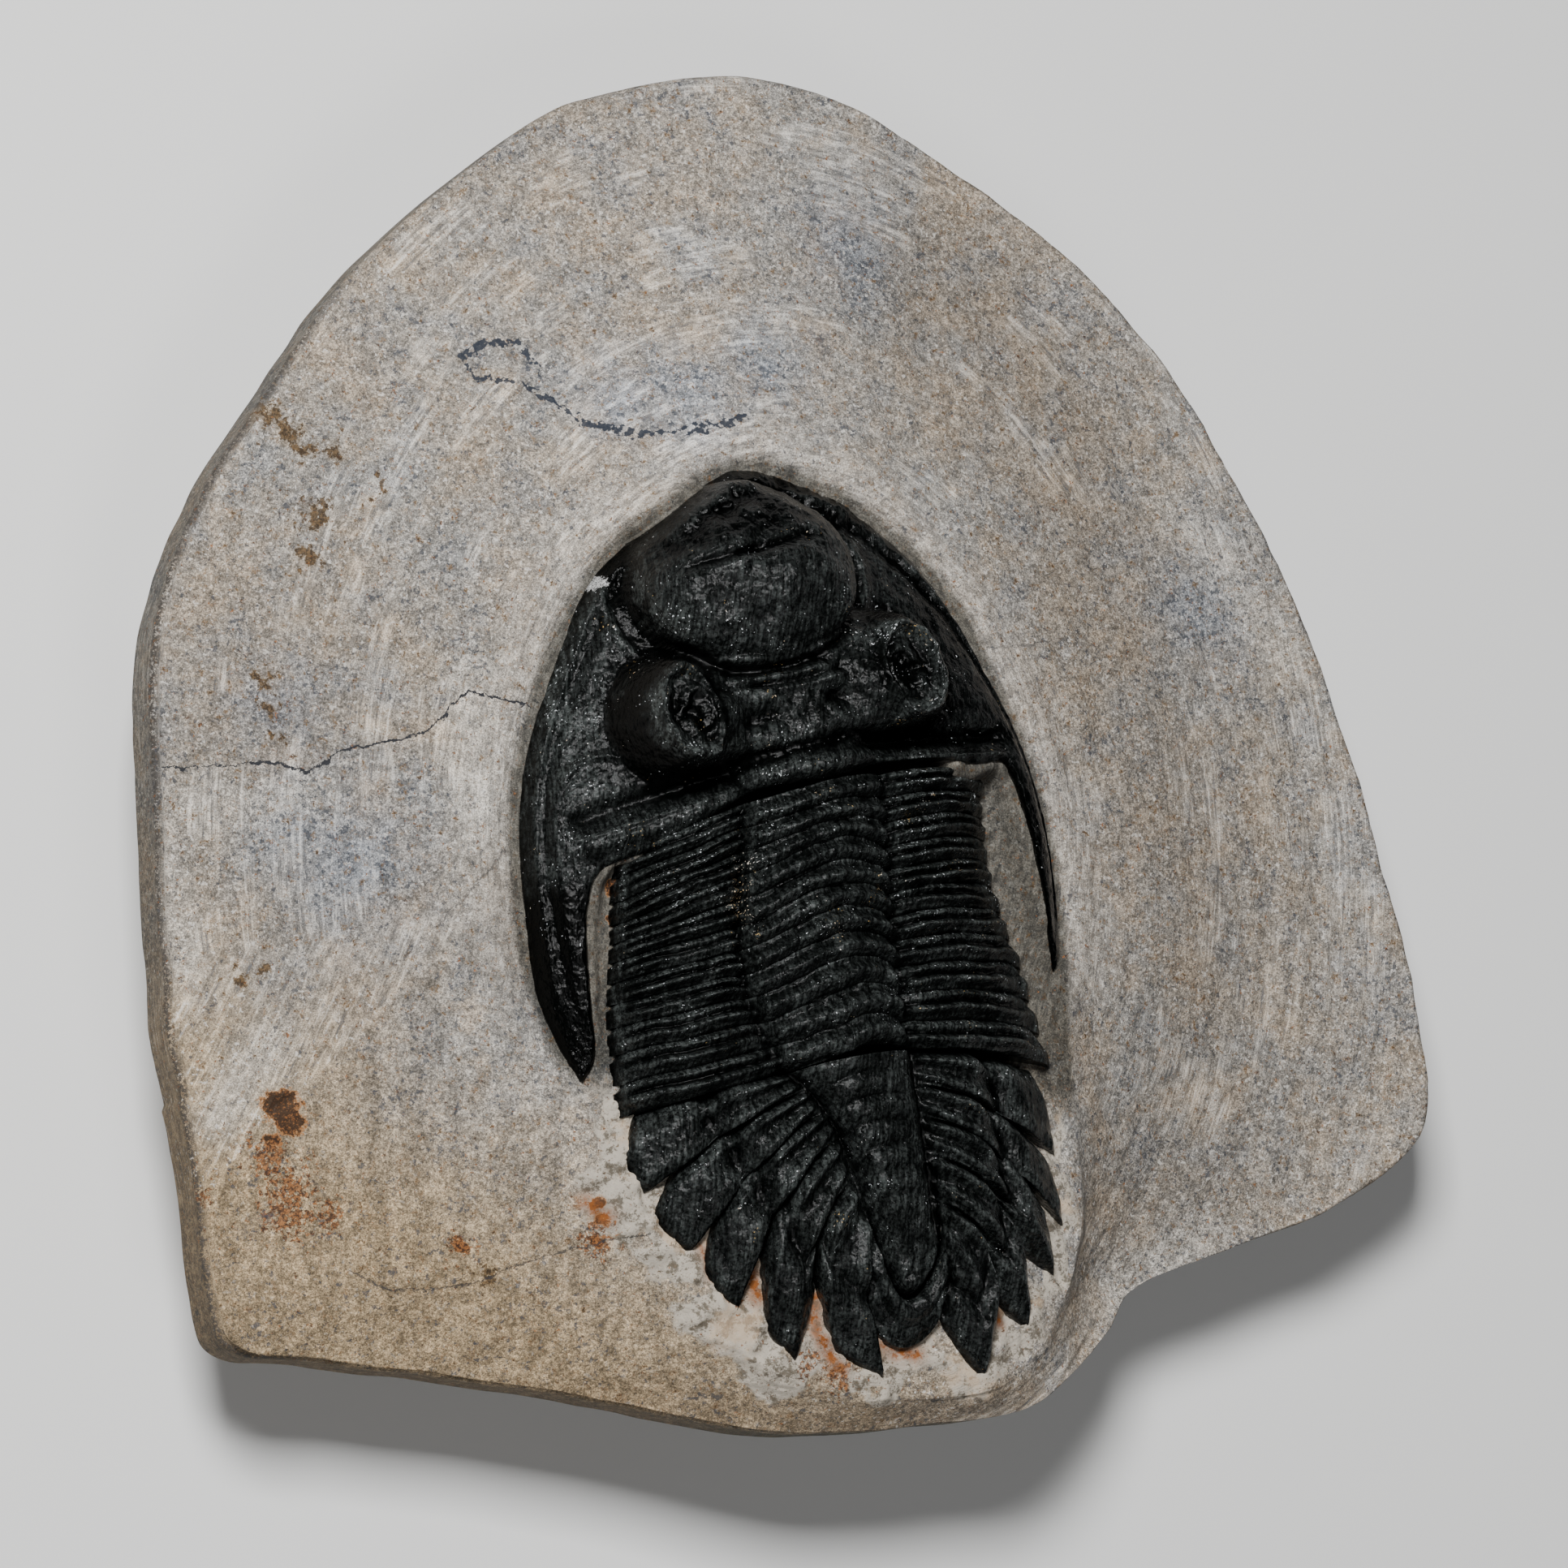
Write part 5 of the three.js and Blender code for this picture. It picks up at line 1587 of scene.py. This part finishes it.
rarer = band(tree, broad, 0.48, 0.62, 0.085, 0.0)
axes = tree.nodes.new("ShaderNodeSeparateXYZ")
feed(tree, axes.inputs[0], place)
rarer = plus(tree, rarer, band(tree, axes.outputs["Y"], -22, -10, 0.035, 0.0))
rarer = minus(tree, rarer, times(tree, kept(tree, "gilt"), 0.13))
glint_limit = plus(tree, band(tree, wear_and_light, 0.2, 1.0, 0.715, 0.635), rarer)
painted_glints = band(tree, minus(tree, noise(tree, place, 7.0, 1, 0.5), glint_limit), 0, 0.03)
gold = larger(tree, band(tree, noise(tree, place, 0.35, 2), 0.56, 0.64), kept(tree, "gilt"))
glint_tone = blend(tree, gold, PAINTED_GLINT, GOLDEN_GLINT)
colour = blend(tree, times(tree, painted_glints, 0.85), colour, glint_tone)
print("calcite nodes with the flashes:", len(tree.nodes))

# %% Chips and shine
DULL_CHIP, PALE_CHIP = (0.12, 0.12, 0.12), (0.55, 0.55, 0.54)

chip = band(tree, plus(tree, kept(tree, "chip"), times(tree, grit, 2.0)), 1.55, 1.7)
chip = times(tree, chip, band(tree, kept(tree, "chip"), 0.1, 0.3))
chip_tone = blend(tree, band(tree, fine, 0.4, 0.6), DULL_CHIP, PALE_CHIP)
colour = blend(tree, chip, colour, chip_tone)
feed(tree, shader.inputs["Base Color"], colour)
feed(tree, shader.inputs["Roughness"], band(tree, grit, 0.35, 0.65, 0.11, 0.23))
shader.inputs["Specular IOR Level"].default_value = 0.13
facets = noise(tree, place, 2.8, 1, 0.5)
relief = bump(tree, needle, 0.45, 0.10)
relief = bump(tree, facets, 0.8, 0.14, relief)
relief = bump(tree, grit, 0.3, 0.10, relief)
feed(tree, shader.inputs["Normal"], relief)
print("calcite nodes:", len(tree.nodes))

# %% [markdown]
# ## Joining the pieces to the frame
# Every new piece stands for one solid part, takes its finish, and rides on the single body, because
# nothing here moves.

# %% Ride and replace
def stand_for(piece, node, material):
    """Gives a piece its material and puts it in the solid part's place."""
    piece.data.materials.append(material)
    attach(piece, "root")
    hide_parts(node)


stand_for(stone, "matrix", limestone)
stand_for(cephalon, "cephalon", calcite)
for k, segment in enumerate(segments):
    stand_for(segment, f"thorax_segment_{k + 1:02d}", calcite)
stand_for(pygidium, "pygidium", calcite)
print("pieces on the body:", 3 + len(segments))

# %% [markdown]
# ## Floor and light
# A plain pale floor and broad soft lamps, as in a small studio. The main lamp stands at the upper left
# of the picture, so that the ribs catch light on one side, and a second one low at the tail end puts a
# sheen on the slopes that face it.

# %% Floor
FLOOR_HALF = 1.2
FLOOR_TONES = (0.78, 0.78, 0.77), (0.82, 0.82, 0.81)
CORNERS = [(-FLOOR_HALF, -FLOOR_HALF, 0), (FLOOR_HALF, -FLOOR_HALF, 0),
           (FLOOR_HALF, FLOOR_HALF, 0), (-FLOOR_HALF, FLOOR_HALF, 0)]

floor_mesh = bpy.data.meshes.new("floor")
floor_mesh.from_pydata(CORNERS, [], [(0, 1, 2, 3)])
floor = bpy.data.objects.new("floor", floor_mesh)
bpy.context.scene.collection.objects.link(floor)
floor_finish, tree, shader, place = new_material("pale_floor")
floor_colour = blend(tree, noise(tree, place, 0.02, 2), *FLOOR_TONES)
feed(tree, shader.inputs["Base Color"], floor_colour)
shader.inputs["Roughness"].default_value = 0.85
floor_mesh.materials.append(floor_finish)
print("floor:", 2 * FLOOR_HALF, "m across")


# %% Lights
def soft_lamp(name, place, size, watts):
    """A square lamp that looks at the fossil."""
    data = bpy.data.lights.new(name, "AREA")
    data.shape = "SQUARE"
    data.size = size
    data.energy = watts
    lamp = bpy.data.objects.new(name, data)
    bpy.context.scene.collection.objects.link(lamp)
    away = np.array(place) - TARGET * MM
    away /= np.linalg.norm(away)
    across = np.cross([0, 1, 0.01], away)
    across /= np.linalg.norm(across)
    frame_turn = np.column_stack([across, np.cross(away, across), away])
    lamp.matrix_world = Matrix.Translation(place) @ Matrix(frame_turn.tolist()).to_4x4()
    return lamp


lamps = [
    soft_lamp("upper_left", (-0.18, 0.11, 0.40), 0.10, 3.1),
    soft_lamp("tail_end", (-0.05, -0.26, 0.48), 0.14, 0.5),
]
world = bpy.data.worlds.new("studio")
world.use_nodes = True
backdrop = world.node_tree.nodes["Background"]
backdrop.inputs["Color"].default_value = (0.9, 0.93, 1.0, 1)
backdrop.inputs["Strength"].default_value = 0.035
bpy.context.scene.world = world
print("lamps:", [lamp.name for lamp in lamps])
